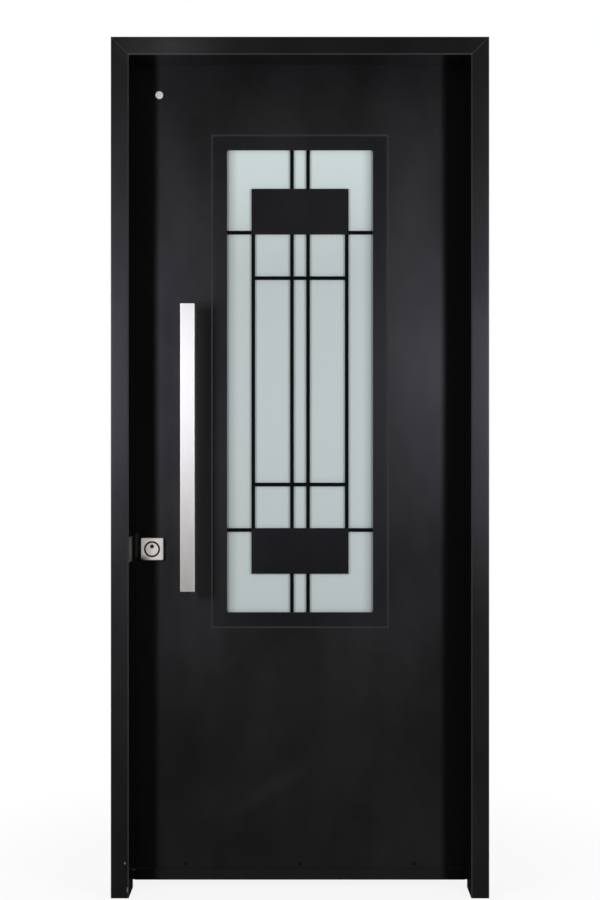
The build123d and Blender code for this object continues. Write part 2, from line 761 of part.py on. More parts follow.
with BuildPart() as bezel_screws:
    for x, z in bezel_screw_places:
        screw(Plane(origin=(x, leaf_back + bezel_sheet, z), x_dir=(1, 0, 0), z_dir=(0, 1, 0)),
              *bezel_screw, bezel_screw_length)
bezel_screws.part.label = "bezel_screws"
export_step(bezel_screws.part, "parts/bezel_screws.step")

# Pull handle: a rectangular tube with welded end caps on two round posts, bolted through.
pull_back = pull_front + pull_depth
pull_middle = (pull_front + pull_back) / 2
tube_inside = (pull_width - 2 * pull_wall, pull_depth - 2 * pull_wall, pull_corner - pull_wall)
with BuildPart() as pull_handle_bar:
    with BuildSketch(Plane.XY.offset(pull_z - pull_length / 2)):
        with Locations((pull_x, pull_middle)):
            RectangleRounded(pull_width, pull_depth, pull_corner)
            RectangleRounded(*tube_inside, mode=Mode.SUBTRACT)
    extrude(amount=pull_length)
pull_handle_bar.part.label = "pull_handle_bar"
export_step(pull_handle_bar.part, "parts/pull_handle_bar.step")

with BuildPart() as pull_handle_caps:
    for low in (pull_z - pull_length / 2, pull_z + pull_length / 2 - pull_cap):
        with BuildSketch(Plane.XY.offset(low)):
            with Locations((pull_x, pull_middle)):
                RectangleRounded(*tube_inside)
        extrude(amount=pull_cap)
pull_handle_caps.part.label = "pull_handle_caps"
export_step(pull_handle_caps.part, "parts/pull_handle_caps.step")

post_step = post_foot_height + 2.0
post_end = pull_back - leaf_front
with BuildPart() as pull_handle_posts:
    for height in post_heights:
        with BuildSketch(Plane(origin=(pull_x, leaf_front, height), x_dir=(1, 0, 0),
                               z_dir=(0, 0, 1))):
            with BuildLine():
                Polyline((0, 0), (post_foot_radius, 0), (post_foot_radius, -post_foot_height),
                         (post_foot_radius - 2, -post_step), (post_radius, -post_step),
                         (post_radius, post_end), (0, post_end), close=True)
            make_face()
        revolve(axis=Axis((pull_x, leaf_front, height), (0, 1, 0)))
        pin_along_y(pull_x, leaf_front - bolt_engagement - 3, leaf_front + overcut, height,
                    handle_bolt + running_fit, mode=Mode.SUBTRACT)
pull_handle_posts.part.label = "pull_handle_posts"
export_step(pull_handle_posts.part, "parts/pull_handle_posts.step")

dome = bolt_head_height - bolt_head_rim
dome_radius = (bolt_head_radius ** 2 + dome ** 2) / (2 * dome)
with BuildPart() as handle_bolts:
    for height in post_heights:
        pin_along_y(pull_x, leaf_front - bolt_engagement, leaf_back + overcut, height,
                    handle_bolt)
        with BuildSketch(Plane(origin=(pull_x, leaf_back, height), x_dir=(1, 0, 0),
                               z_dir=(0, 0, 1))):
            with BuildLine():
                Line((0, 0), (bolt_head_radius, 0))
                Line((bolt_head_radius, 0), (bolt_head_radius, bolt_head_rim))
                RadiusArc((bolt_head_radius, bolt_head_rim), (0, bolt_head_height), -dome_radius)
                Line((0, bolt_head_height), (0, 0))
            make_face()
        revolve(axis=Axis((pull_x, leaf_back, height), (0, 1, 0)))
handle_bolts.part.label = "handle_bolts"
export_step(handle_bolts.part, "parts/handle_bolts.step")

# Lock furniture: square guard rosette outside, round rosettes, lever and thumb turn inside.
rosette_front = leaf_front - rosette_depth
with BuildPart() as lock_rosette:
    with BuildSketch(upright(leaf_front)):
        with Locations((lock_x, rosette_z)):
            RectangleRounded(rosette_width, rosette_height, guard_corner)
    extrude(amount=rosette_depth)
    chamfer(lock_rosette.faces().sort_by(Axis.Y)[0].edges(), length=guard_chamfer)
    with BuildSketch(upright(rosette_front)):
        with Locations((lock_x, rosette_z)):
            Circle(groove_outer / 2)
            Circle(groove_inner / 2, mode=Mode.SUBTRACT)
    extrude(amount=-guard_groove, mode=Mode.SUBTRACT)
    with BuildSketch(upright(rosette_front)):
        with Locations((lock_x, plug_z)):
            Circle(key_hole / 2)
    extrude(amount=-rosette_depth, mode=Mode.SUBTRACT)
    with BuildSketch(upright(leaf_front)):
        euro_profile(fit)
    extrude(amount=rosette_depth - rosette_wall, mode=Mode.SUBTRACT)
lock_rosette.part.label = "lock_rosette"
export_step(lock_rosette.part, "parts/lock_rosette.step")

cylinder_front = rosette_front + rosette_wall
cylinder_back = leaf_back + knob_back
cam_front = lock_y - cam_half
cam_back = lock_y + cam_half
with BuildPart() as cylinder_body:
    with BuildSketch(upright(cylinder_front)):
        euro_profile(0)
    extrude(amount=cylinder_front - cylinder_back)
    pin_along_y(lock_x, cylinder_front - overcut, cylinder_back + overcut, plug_z,
                plug_diameter + 5 * running_fit, mode=Mode.SUBTRACT)
    block((lock_x - 2 * cam_half, cam_front, plug_z - cam_nose - cam_clear),
          (lock_x + 2 * cam_half, cam_back, plug_z + 2 * cam_half), mode=Mode.SUBTRACT)
cylinder_body.part.label = "cylinder_body"
export_step(cylinder_body.part, "parts/cylinder_body.step")

with BuildPart() as key_plug:
    pin_along_y(lock_x, cylinder_front + 0.3, cam_front, plug_z, plug_diameter)
    block((lock_x - key_slot_width / 2, cylinder_front - overcut, plug_z - key_slot_height / 2),
          (lock_x + key_slot_width / 2, cylinder_front + key_slot_depth,
           plug_z + key_slot_height / 2), mode=Mode.SUBTRACT)
key_plug.part.label = "key_plug"
export_step(key_plug.part, "parts/key_plug.step")

thumb_front = cylinder_back + 1.0
grip_front = thumb_front + turn_disc_depth
with BuildPart() as thumb_turn:
    pin_along_y(lock_x, cam_front + cam_clear / 2, thumb_front, plug_z, plug_diameter)
    block((lock_x - cam_width / 2, cam_front + cam_clear, plug_z - cam_nose + cam_clear),
          (lock_x + cam_width / 2, cam_back - cam_clear, plug_z))
    pin_along_y(lock_x, thumb_front, grip_front, plug_z, turn_disc)
    with BuildSketch(upright(grip_front)):
        with Locations((lock_x, plug_z)):
            SlotOverall(turn_length, turn_width, rotation=90)
    extrude(amount=-turn_depth)
    fillet(thumb_turn.faces().sort_by(Axis.Y)[-1].edges(), radius=turn_edge)
thumb_turn.part.label = "thumb_turn"
export_step(thumb_turn.part, "parts/thumb_turn.step")

with BuildPart() as inner_lock_rosette:
    with BuildSketch(upright(leaf_back)):
        with Locations((lock_x, plug_z)):
            Circle(rosette_radius)
        euro_profile(fit, mode=Mode.SUBTRACT)
    extrude(amount=-plug_collar)
    fillet(inner_lock_rosette.edges().filter_by(GeomType.CIRCLE).sort_by(SortBy.RADIUS)[-2:]
           .sort_by(Axis.Y)[-1], radius=rosette_edge)
inner_lock_rosette.part.label = "inner_lock_rosette"
export_step(inner_lock_rosette.part, "parts/inner_lock_rosette.step")

with BuildPart() as lever_rosette:
    with BuildSketch(upright(leaf_back)):
        with Locations((lock_x, lever_z)):
            Circle(rosette_radius)
            Circle(lever_neck / 2 + lever_clear, mode=Mode.SUBTRACT)
    extrude(amount=-plug_collar)
    fillet(lever_rosette.edges().filter_by(GeomType.CIRCLE).sort_by(SortBy.RADIUS)[-2:]
           .sort_by(Axis.Y)[-1], radius=rosette_edge)
lever_rosette.part.label = "lever_rosette"
export_step(lever_rosette.part, "parts/lever_rosette.step")

lever_end = lock_x + lever_length
with BuildPart() as inside_lever:
    block((lock_x - spindle / 2, lock_y - spindle_reach, lever_z - spindle / 2),
          (lock_x + spindle / 2, leaf_back + spindle / 2, lever_z + spindle / 2))
    pin_along_y(lock_x, leaf_back + 0.5, lever_back - lever_depth / 2, lever_z, lever_neck)
    with BuildSketch(upright(lever_back - lever_depth)):
        with BuildLine():
            Polyline((lock_x, lever_z - lever_neck / 2), (lever_end, lever_z - lever_tip / 2),
                     (lever_end, lever_z + lever_tip / 2), (lock_x, lever_z + lever_neck / 2),
                     close=True)
        make_face()
        with Locations((lock_x, lever_z)):
            Circle(lever_neck / 2)
        with Locations((lever_end, lever_z)):
            Circle(lever_tip / 2)
    extrude(amount=-lever_depth)
    fillet(inside_lever.faces().sort_by(Axis.Y)[-1].edges(), radius=lever_edge)
inside_lever.part.label = "inside_lever"
export_step(inside_lever.part, "parts/inside_lever.step")

# Hub on the lever's spindle, in the middle of the lock case.
with BuildPart() as lever_follower:
    pin_along_y(lock_x, case_low + case_wall + fit, case_high - case_wall - fit, lever_z,
                follower_diameter)
    block((lock_x - spindle / 2, case_low, lever_z - spindle / 2),
          (lock_x + spindle / 2, case_high, lever_z + spindle / 2), mode=Mode.SUBTRACT)
lever_follower.part.label = "lever_follower"
export_step(lever_follower.part, "parts/lever_follower.step")

# Lock case, faceplate and what moves inside.
faceplate_screw_heights = (faceplate_low + 7.0, faceplate_high - 7.0)
latch_hole = 0.4
case_end_cut = 4.0
with BuildPart() as lock_case:
    block((case_front, case_low, case_bottom), (case_back, case_high, case_top))
    block((case_front + faceplate, case_low + case_wall, case_bottom + case_wall),
          (case_back - case_wall, case_high - case_wall, case_top - case_wall),
          mode=Mode.SUBTRACT)
    block((case_front, case_low, faceplate_low), (case_front + faceplate, case_high,
                                                  faceplate_high))
    with BuildSketch(upright(case_low - overcut)):
        euro_profile(2 * cylinder_cut)
        with Locations((lock_x, lever_z)):
            Circle(follower_diameter / 2 + fit)
    extrude(amount=-case_thickness - 2 * overcut, mode=Mode.SUBTRACT)
    for height in bolt_heights:
        pin_along_x(case_front - overcut, case_front + faceplate + overcut, lock_y, height,
                    bolt_diameter + bolt_play, mode=Mode.SUBTRACT)
    block((case_front - overcut, latch_low[0] - latch_hole, latch_low[1] - latch_hole),
          (case_front + faceplate + overcut, latch_high[0] + latch_hole,
           latch_high[1] + latch_hole), mode=Mode.SUBTRACT)
    for end in (case_bottom, case_top):
        pin_along_z(rod_x, lock_y, end - case_end_cut, end + case_end_cut,
                    rod_diameter + hole_play, mode=Mode.SUBTRACT)
    for height in faceplate_screw_heights:
        pin_along_x(case_front - overcut, case_front + faceplate + overcut, lock_y, height,
                    lock_screw_hole, mode=Mode.SUBTRACT)
lock_case.part.label = "lock_case"
export_step(lock_case.part, "parts/lock_case.step")

with BuildPart() as lock_faceplate:
    block((-leaf_half, case_low, faceplate_low), (case_front, case_high, faceplate_high))
    for height in bolt_heights:
        pin_along_x(-leaf_half - overcut, case_front + overcut, lock_y, height,
                    bolt_diameter + bolt_play, mode=Mode.SUBTRACT)
    block((-leaf_half - overcut, latch_low[0] - latch_hole, latch_low[1] - latch_hole),
          (case_front + overcut, latch_high[0] + latch_hole, latch_high[1] + latch_hole),
          mode=Mode.SUBTRACT)
    with Locations(*[Location((-leaf_half, lock_y, height), (0, -90, 0))
                     for height in faceplate_screw_heights]):
        CounterSinkHole(*lock_sink, depth=faceplate + overcut)
lock_faceplate.part.label = "lock_faceplate"
export_step(lock_faceplate.part, "parts/lock_faceplate.step")

with BuildPart() as faceplate_screws:
    for height in faceplate_screw_heights:
        screw(Plane(origin=(-leaf_half, lock_y, height), z_dir=(-1, 0, 0)), *lock_screw,
              faceplate_screw_length)
faceplate_screws.part.label = "faceplate_screws"
export_step(faceplate_screws.part, "parts/faceplate_screws.step")

bolt_tip = -leaf_half + bolt_inset
carriage_x = bolt_tip + bolt_length
with BuildPart() as side_bolts:
    for height in bolt_heights:
        pin_along_x(bolt_tip, carriage_x, lock_y, height, bolt_diameter)
    chamfer(side_bolts.faces().filter_by(Axis.X).sort_by(Axis.X)[:3].edges(), length=1.2)
side_bolts.part.label = "side_bolts"
export_step(side_bolts.part, "parts/side_bolts.step")

carriage_end = bolt_diameter / 2 + 1.0
with BuildPart() as bolt_carriage:
    block((carriage_x, lock_y - carriage_depth / 2, bolt_heights[0] - carriage_end),
          (carriage_x + carriage_sheet, lock_y + carriage_depth / 2,
           bolt_heights[-1] + carriage_end))
bolt_carriage.part.label = "bolt_carriage"
export_step(bolt_carriage.part, "parts/bolt_carriage.step")

latch_back = bolt_tip + latch_length
latch_bevel = 11.0
with BuildPart() as latch_bolt:
    with BuildSketch(Plane.XY.offset(latch_low[1])):
        with BuildLine():
            Polyline((bolt_tip, latch_high[0]), (latch_back, latch_high[0]),
                     (latch_back, latch_low[0]), (bolt_tip + latch_bevel, latch_low[0]),
                     (bolt_tip, latch_low[0] + latch_bevel), close=True)
        make_face()
    extrude(amount=latch_height)
    pin_along_x(latch_back - overcut, latch_back + latch_stem, lock_y, lever_z,
                latch_stem_diameter)
latch_bolt.part.label = "latch_bolt"
export_step(latch_bolt.part, "parts/latch_bolt.step")


def rod_profile(low, high, tip_at_top):
    """Half the outline of a round rod with a thicker, chamfered tip at one end."""
    thin = rod_diameter / 2
    thick = rod_tip_diameter / 2
    bevel = 2.0
    tip = high if tip_at_top else low
    tail = low if tip_at_top else high
    step = -1 if tip_at_top else 1
    Polyline((0, tail), (thin, tail), (thin, tip + step * rod_tip_length),
             (thick, tip + step * rod_tip_length), (thick, tip + step * bevel),
             (thick - bevel, tip), (0, tip), close=True)


rod_tail = 22.0
with BuildPart() as upper_rod:
    with BuildSketch(Plane(origin=(rod_x, lock_y, 0), x_dir=(1, 0, 0), z_dir=(0, -1, 0))):
        with BuildLine():
            rod_profile(case_top - rod_tail, leaf_top - bolt_inset, True)
        make_face()
    revolve(axis=Axis((rod_x, lock_y, 0), (0, 0, 1)))
upper_rod.part.label = "upper_rod"
export_step(upper_rod.part, "parts/upper_rod.step")

with BuildPart() as lower_rod:
    with BuildSketch(Plane(origin=(rod_x, lock_y, 0), x_dir=(1, 0, 0), z_dir=(0, -1, 0))):
        with BuildLine():
            rod_profile(leaf_bottom + bolt_inset, case_bottom + rod_tail, False)
        make_face()
    revolve(axis=Axis((rod_x, lock_y, 0), (0, 0, 1)))
lower_rod.part.label = "lower_rod"
export_step(lower_rod.part, "parts/lower_rod.step")

# Dog pins, bottom strip with its screws, and the small plain disc at the top.
dog_head_sheet = 6.0
dog_head = dog_diameter + 8.0
dog_root = rail_half - channel_sheet
with BuildPart() as dog_pins:
    for height in dog_heights:
        pin_along_x(dog_root, leaf_half + dog_length, lock_y, height, dog_diameter)
        pin_along_x(dog_root - dog_head_sheet, dog_root, lock_y, height, dog_head)
    chamfer(dog_pins.faces().filter_by(Axis.X).sort_by(Axis.X)[-2:].edges(), length=1.5)
dog_pins.part.label = "dog_pins"
export_step(dog_pins.part, "parts/dog_pins.step")

with BuildPart() as bottom_strip:
    with BuildSketch(upright(leaf_front)):
        with Locations((0, leaf_bottom + strip_height / 2)):
            Rectangle(2 * (reveal_x - strip_gap), strip_height)
    extrude(amount=strip_sheet)
    chamfer(bottom_strip.faces().sort_by(Axis.Y)[0].edges(), length=trim_chamfer)
bottom_strip.part.label = "bottom_strip"
export_step(bottom_strip.part, "parts/bottom_strip.step")

with BuildPart() as bottom_screws:
    for x in bottom_screw_xs:
        pin_along_y(x, leaf_front - bottom_head_height, leaf_front, bottom_screw_z, bottom_head)
        pin_along_y(x, leaf_front - bottom_head_height / 2, leaf_front + bottom_screw_length,
                    bottom_screw_z, bottom_shank)
    fillet(bottom_screws.faces().filter_by(Axis.Y).sort_by(Axis.Y)[:3].edges(),
           radius=bottom_head_edge)
bottom_screws.part.label = "bottom_screws"
export_step(bottom_screws.part, "parts/bottom_screws.step")

with BuildPart() as badge_disc:
    pin_along_y(badge_x, leaf_front - badge_sheet, leaf_front, badge_z, badge_diameter)
    chamfer(badge_disc.faces().sort_by(Axis.Y)[0].edges(), length=trim_chamfer)
badge_disc.part.label = "badge_disc"
export_step(badge_disc.part, "parts/badge_disc.step")
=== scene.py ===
import json
import math

import bpy
from bpy.props import FloatProperty, FloatVectorProperty, PointerProperty
from bpy.types import Operator, Panel, PropertyGroup
from mathutils import Matrix, Vector


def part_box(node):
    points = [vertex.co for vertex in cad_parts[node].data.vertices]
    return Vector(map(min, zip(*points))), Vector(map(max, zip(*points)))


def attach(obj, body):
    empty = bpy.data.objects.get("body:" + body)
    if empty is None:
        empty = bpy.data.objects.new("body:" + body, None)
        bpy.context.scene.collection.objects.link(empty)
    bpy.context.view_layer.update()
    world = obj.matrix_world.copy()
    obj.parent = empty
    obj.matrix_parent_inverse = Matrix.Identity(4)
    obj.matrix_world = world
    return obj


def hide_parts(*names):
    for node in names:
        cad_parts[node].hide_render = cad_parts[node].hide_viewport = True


bl_info = {
    "name": "Steel entrance door",
    "version": (1, 0, 0),
    "blender": (4, 5, 0),
    "location": "View3D > Sidebar > Door",
    "description": "Finishes and small fittings of a steel entrance door in its frame",
    "category": "Add Mesh",
}

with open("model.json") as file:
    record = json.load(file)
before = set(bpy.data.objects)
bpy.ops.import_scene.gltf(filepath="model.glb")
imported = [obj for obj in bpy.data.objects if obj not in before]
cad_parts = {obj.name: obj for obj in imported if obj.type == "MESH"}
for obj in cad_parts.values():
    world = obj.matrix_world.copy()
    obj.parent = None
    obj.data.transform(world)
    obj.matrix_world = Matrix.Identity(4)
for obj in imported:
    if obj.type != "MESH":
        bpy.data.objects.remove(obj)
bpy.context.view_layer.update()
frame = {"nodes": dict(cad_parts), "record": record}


def srgb(red, green, blue):
    """A linear colour from the 0 to 255 values that a picture shows."""
    def linear(value):
        value /= 255
        return value / 12.92 if value <= 0.04045 else ((value + 0.055) / 1.055) ** 2.4
    return linear(red), linear(green), linear(blue)


# Places on the door, in metres
SKIN_TO_FRONT = 0.0485
LEAF_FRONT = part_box("leaf_inner_skin")[0][1] - SKIN_TO_FRONT
LEAF_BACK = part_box("leaf_inner_skin")[1][1]
FRAME_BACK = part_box("frame_head")[1][1]
SHELTERED_X = (0.345, 0.372)
SHELTERED_Y = (-0.004, -0.006)
REVEAL_Y = (-0.0985, -0.0955)
MITRE_LEAD = 1.623
MITRE_START = 2.034
SEAM_HALF = 0.0012
WINDOW_CENTRE = 1.2525
PLATE_X = 0.1205
PLATE_NEAR = 0.3644
PLATE_FAR = 0.4777
# Distances from the middle across which painted shade darkens the glass towards its left and
# right rims
GLASS_SHADE_X = (0.15, 0.182)
# Heights between which painted light makes the glass paler towards the top
LIT_TOP_Z = (1.5, 1.9)
# The lock guard's ring groove, darkened with painted shade: its middle in X and Z, its radius and
# its floor
LOCK_GROOVE = ((-0.366, 0.8367), 0.0205, -0.0196)
GROOVE_FADE = 0.0006

# Paint and metal
GUARDED_ROUGHNESS = 0.12
FOLD_ROUGHNESS = 0.95
# How dark the painted shade at the glass rims gets
RIM_SHADE_SHARE = 0.35
# How much paler the painted light makes the top of the glass
LIT_TOP_GAIN = 1.38
# Colour of the painted shade in the lock guard's groove and on its lower left
PAINTED_SHADE_DARK = srgb(38, 36, 33)
DULL_FOLD = srgb(42, 42, 43)
# Worn paint on the frame's folds, which is also a painted highlight along its arrises, and the
# colour of the ground mitre seams
RUBBED_AND_HIGHLIGHT_PAINT = srgb(48, 47, 46)
# Pale paint for the painted highlights and painted reflections on the leaf and the frame's head
PAINTED_HIGHLIGHT_PAINT = srgb(66, 65, 66)
BARE_STEEL = srgb(104, 100, 94)

# Spots, and soft patches of painted highlight, reflection and shade: the middle, the reach on
# each axis, then the turn and the strength
FOOT_CHIPS = (((-0.4165, -0.0995, 0.0205), (0.0018, 0.004, 0.0065)),
              ((-0.4225, -0.1, 0.085), (0.0022, 0.002, 0.003)))
LEAF_SPECKS = (((-0.411, -0.01, 0.042), (0.0018, 0.003, 0.0016)),
               ((-0.386, -0.01, 0.0445), (0.0016, 0.003, 0.0014)))
# Pale patches on the leaf: painted reflections low down, painted highlights on the upper left and
# right
LEAF_PAINTED_HIGHLIGHTS = (((-0.07, -0.01, 0.245), (0.14, 0.02, 0.03), -0.55, 0.17),
               ((-0.19, -0.01, 0.2), (0.12, 0.02, 0.09), 0.0, 0.12),
               ((0.23, -0.01, 1.6), (0.12, 0.02, 0.45), 0.0, 0.3),
               ((-0.3, -0.01, 1.45), (0.07, 0.02, 0.5), 0.0, 0.12))
# A pale patch at the left end of the frame's head: a painted reflection
HEAD_PAINTED_REFLECTION = (((-0.3, -0.1, 2.058), (0.16, 0.02, 0.06), 0.0, 0.65),)
# A dark patch on the lower left of the lock guard: painted shade
GUARD_PAINTED_SHADE = (((-0.39, -0.02, 0.811), (0.022, 0.02, 0.014), 0.0, 1.6),)

# Screws and welds
BOTTOM_SHANK, BOTTOM_LENGTH = 0.004, 0.012
BEZEL_SHANK, BEZEL_LENGTH = 0.0035, 0.012
LOCK_SHANK = 0.004
BEZEL_SIDE_STEPS = (-2, -1, 0, 1, 2)
BEZEL_END_X = (-0.1, 0.1)
SCREW_ROLL = 0.7
WING_STEP = 5.0e-3
BEAD_SINK = 0.4
DROP_FLAT = 0.8
DROP_STEP = 0.9

# Stage
CAMERA_PLACE = (0.0, -3.331, 1.082)
CAMERA_LENS = 53.56
SENSOR_WIDTH = 36.0
LAMPS = (
    ("lamp_left", (-1.2, -1.35, 1.34), (0.0, -0.05, 1.2), 0.3, 0.62, 12.0),
    ("lamp_right", (1.2, -1.35, 1.34), (0.0, -0.05, 1.2), 0.3, 0.62, 12.8),
    ("lamp_inside", (0.0, 2.8, 2.2), (0.0, 0.0, 1.1), 1.6, 1.6, 30.0),
)
LAMP_TINT = (1.0, 0.975, 1.18)
FILL_TINT = (1.0, 0.96, 0.9)
FILL = 0.5
ROOM_DARK = 0.01
ROOM_SIDES = 0.7
ROOM_TURN = (0.5, 0.92)
FLOOR_SIZE = 30
FLOOR_GREY = 0.85
SHADOW_REACH = (0.5, 1.3)
SHADOW_SHARE = 0.86

FINISHES = {}


def colour_property(name, description, default):
    """A colour that the user may change."""
    return FloatVectorProperty(name=name, description=description, subtype="COLOR", size=3,
                               min=0.0, max=1.0, default=default)


class DOOR_PG_finishes(PropertyGroup):
    """Colours of the finishes."""
    leaf: colour_property("Leaf", "Satin paint of the leaf", srgb(13, 12, 11))
    jamb: colour_property("Frame", "Satin paint of the frame", srgb(14, 13, 12))
    bezel: colour_property("Bezel", "Paint of the window bezels", srgb(14, 14, 15))
    grille: colour_property("Grille", "Paint of the grille", srgb(13, 13, 14))
    glass: colour_property("Glass", "Frosted pane", srgb(184, 197, 190))
    steel: colour_property("Stainless steel", "Pull handle and plates", srgb(236, 236, 224))
    nickel: colour_property("Satin nickel", "Lock furniture", srgb(224, 222, 210))
    zinc: colour_property("Zinc", "Galvanised steel inside", srgb(168, 172, 175))
    brass: colour_property("Brass", "Lock cylinder", srgb(196, 168, 98))
    rubber: colour_property("Rubber", "Seals and gaskets", srgb(22, 22, 22))
    wool: colour_property("Mineral wool", "Core of the leaf", srgb(178, 160, 104))


class DOOR_PG_fittings(PropertyGroup):
    """Sizes of the small fittings."""
    bottom_head: FloatProperty(name="Bottom screw head", description="Diameter of a pan head",
                               default=0.0075, unit="LENGTH")
    bezel_head: FloatProperty(name="Bezel screw head", description="Diameter of a bezel screw",
                              default=0.0064, unit="LENGTH")
    lock_head: FloatProperty(name="Lock screw head", description="Diameter of a faceplate screw",
                             default=0.0074, unit="LENGTH")
    weld_radius: FloatProperty(name="Weld bead", description="Radius of a weld bead",
                               default=0.0014, unit="LENGTH")


def shader_tree(name):
    """A new node material, with its shader and its object coordinates."""
    material = bpy.data.materials.new(name)
    material.use_nodes = True
    nodes = material.node_tree.nodes
    coords = nodes.new("ShaderNodeTexCoord")
    return material, nodes, material.node_tree.links, nodes["Principled BSDF"], coords


def maths(nodes, links, operation, first, second):
    """One sum of two values or sockets."""
    step = nodes.new("ShaderNodeMath")
    step.operation = operation
    for socket, value in zip(step.inputs, (first, second)):
        if isinstance(value, (int, float)):
            socket.default_value = value
        else:
            links.new(value, socket)
    return step.outputs["Value"]


def axis_of(nodes, links, coords, axis, output="Object"):
    """One coordinate of a point, or of the normal there."""
    parts = nodes.new("ShaderNodeSeparateXYZ")
    links.new(coords.outputs[output], parts.inputs["Vector"])
    return parts.outputs[axis]


def noise(nodes, links, coords, scale, stretch=(1, 1, 1), detail=3.0):
    """A noise texture in metres, stretched along an axis where stretch is small."""
    mapping = nodes.new("ShaderNodeMapping")
    mapping.inputs["Scale"].default_value = stretch
    texture = nodes.new("ShaderNodeTexNoise")
    texture.inputs["Scale"].default_value = scale
    texture.inputs["Detail"].default_value = detail
    links.new(coords.outputs["Object"], mapping.inputs["Vector"])
    links.new(mapping.outputs["Vector"], texture.inputs["Vector"])
    return texture.outputs["Fac"]


def spread(nodes, links, value, low, high):
    """A value from 0 to 1 spread between two limits."""
    span = nodes.new("ShaderNodeMapRange")
    span.inputs["To Min"].default_value = low
    span.inputs["To Max"].default_value = high
    links.new(value, span.inputs["Value"])
    return span.outputs["Result"]


def tint(nodes, links, value, low, high):
    """A colour that runs between two colours as the value runs from 0 to 1."""
    ramp = nodes.new("ShaderNodeValToRGB")
    ramp.color_ramp.elements[0].color = (*low, 1.0)
    ramp.color_ramp.elements[1].color = (*high, 1.0)
    links.new(value, ramp.inputs["Fac"])
    return ramp.outputs["Color"]


def mixed(nodes, links, factor, first, second):
    """A colour socket mixed towards a second colour by a factor socket."""
    mix = nodes.new("ShaderNodeMix")
    mix.data_type = "RGBA"
    links.new(factor, mix.inputs[0])
    for socket, value in zip((mix.inputs[6], mix.inputs[7]), (first, second)):
        if isinstance(value, tuple):
            socket.default_value = (*value, 1.0)
        else:
            links.new(value, socket)
    return mix.outputs[2]


def between(nodes, links, factor, first, second):
    """A value or socket that goes from the first to the second as the factor rises."""
    kept = maths(nodes, links, "MULTIPLY", maths(nodes, links, "SUBTRACT", 1.0, factor), first)
    return maths(nodes, links, "ADD", kept, maths(nodes, links, "MULTIPLY", factor, second))


def bump(nodes, links, shader, height, strength, distance):
    """Fine relief from a height value."""
    relief = nodes.new("ShaderNodeBump")
    relief.inputs["Strength"].default_value = strength
    relief.inputs["Distance"].default_value = distance
    links.new(height, relief.inputs["Height"])
    links.new(relief.outputs["Normal"], shader.inputs["Normal"])


def scaled(colour, factor):
    """A colour made lighter or darker."""
    return tuple(min(1.0, part * factor) for part in colour)


def part_of(nodes, links, coords, axis, low, high):
    """A mask that runs from 0 to 1 as the size of one coordinate runs from low to high."""
    value = axis_of(nodes, links, coords, axis)
    if low >= 0:
        value = maths(nodes, links, "ABSOLUTE", value, 0.0)
    mask = nodes.new("ShaderNodeMapRange")
    mask.interpolation_type = "SMOOTHSTEP"
    mask.inputs["From Min"].default_value = low
    mask.inputs["From Max"].default_value = high
    links.new(value, mask.inputs["Value"])
    return mask.outputs["Result"]


def fold_mask(nodes, links, coords):
    """A mask that is 1 on small folds and rounded edges, where a face turns from the front."""
    facing = maths(nodes, links, "ABSOLUTE", axis_of(nodes, links, coords, "Y", "Normal"), 0.0)
    turned = maths(nodes, links, "MULTIPLY", facing, maths(nodes, links, "SUBTRACT", 1.0, facing))
    return maths(nodes, links, "MINIMUM", maths(nodes, links, "MULTIPLY", turned, 4.0), 1.0)


def oval(nodes, links, coords, centre, reach, turn=0.0):
    """How far a point lies from the middle of an oval, where its edge is at 1."""
    shift = nodes.new("ShaderNodeMapping")
    shift.vector_type = "TEXTURE"
    shift.inputs["Location"].default_value = centre
    shift.inputs["Rotation"].default_value = (0, turn, 0)
    shift.inputs["Scale"].default_value = reach
    links.new(coords.outputs["Object"], shift.inputs["Vector"])
    far = nodes.new("ShaderNodeVectorMath")
    far.operation = "LENGTH"
    links.new(shift.outputs["Vector"], far.inputs[0])
    return far.outputs["Value"]


def spot_mask(nodes, links, coords, centre, reach, ragged=0.5):
    """A mask that is 1 inside a ragged oval spot."""
    edge = maths(nodes, links, "MULTIPLY", noise(nodes, links, coords, 350.0), 2 * ragged)
    limit = maths(nodes, links, "ADD", oval(nodes, links, coords, centre, reach), edge)
    return maths(nodes, links, "LESS_THAN", limit, 1.0 + ragged)


def painted_light_patch(nodes, links, coords, centre, reach, turn, strength):
    """A mask for a soft patch of painted light or shade that fades out from its middle, streaked
    along its length.
    """
    fade = maths(nodes, links, "SUBTRACT", 1.0, oval(nodes, links, coords, centre, reach, turn))
    streak = spread(nodes, links, noise(nodes, links, coords, 45.0, (0.4, 1, 1), 4.0), 0.3, 1.0)
    mask = maths(nodes, links, "MULTIPLY", maths(nodes, links, "MAXIMUM", fade, 0.0), streak)
    return maths(nodes, links, "MULTIPLY", mask, strength)


def mitre_seams(nodes, links, coords):
    """A mask that is 1 on the ground weld seams across the frame's two upper corners."""
    height = axis_of(nodes, links, coords, "Z")
    across = maths(nodes, links, "ABSOLUTE", axis_of(nodes, links, coords, "X"), 0.0)
    lead = maths(nodes, links, "SUBTRACT", height, across)
    off = maths(nodes, links, "ABSOLUTE", maths(nodes, links, "SUBTRACT", lead, MITRE_LEAD), 0.0)
    line = maths(nodes, links, "LESS_THAN", off, SEAM_HALF)
    above = maths(nodes, links, "GREATER_THAN", height, MITRE_START)
    return maths(nodes, links, "MULTIPLY", line, above)


def behind_jambs(nodes, links, coords):
    """A mask that is 1 on the strips of the leaf's front that the jambs shelter."""
    sides = part_of(nodes, links, coords, "X", *SHELTERED_X)
    front = part_of(nodes, links, coords, "Y", *SHELTERED_Y)
    return maths(nodes, links, "MULTIPLY", sides, front)


def inside_reveal(nodes, links, coords):
    """A mask that is 1 on the frame behind its front face."""
    return part_of(nodes, links, coords, "Y", *REVEAL_Y)


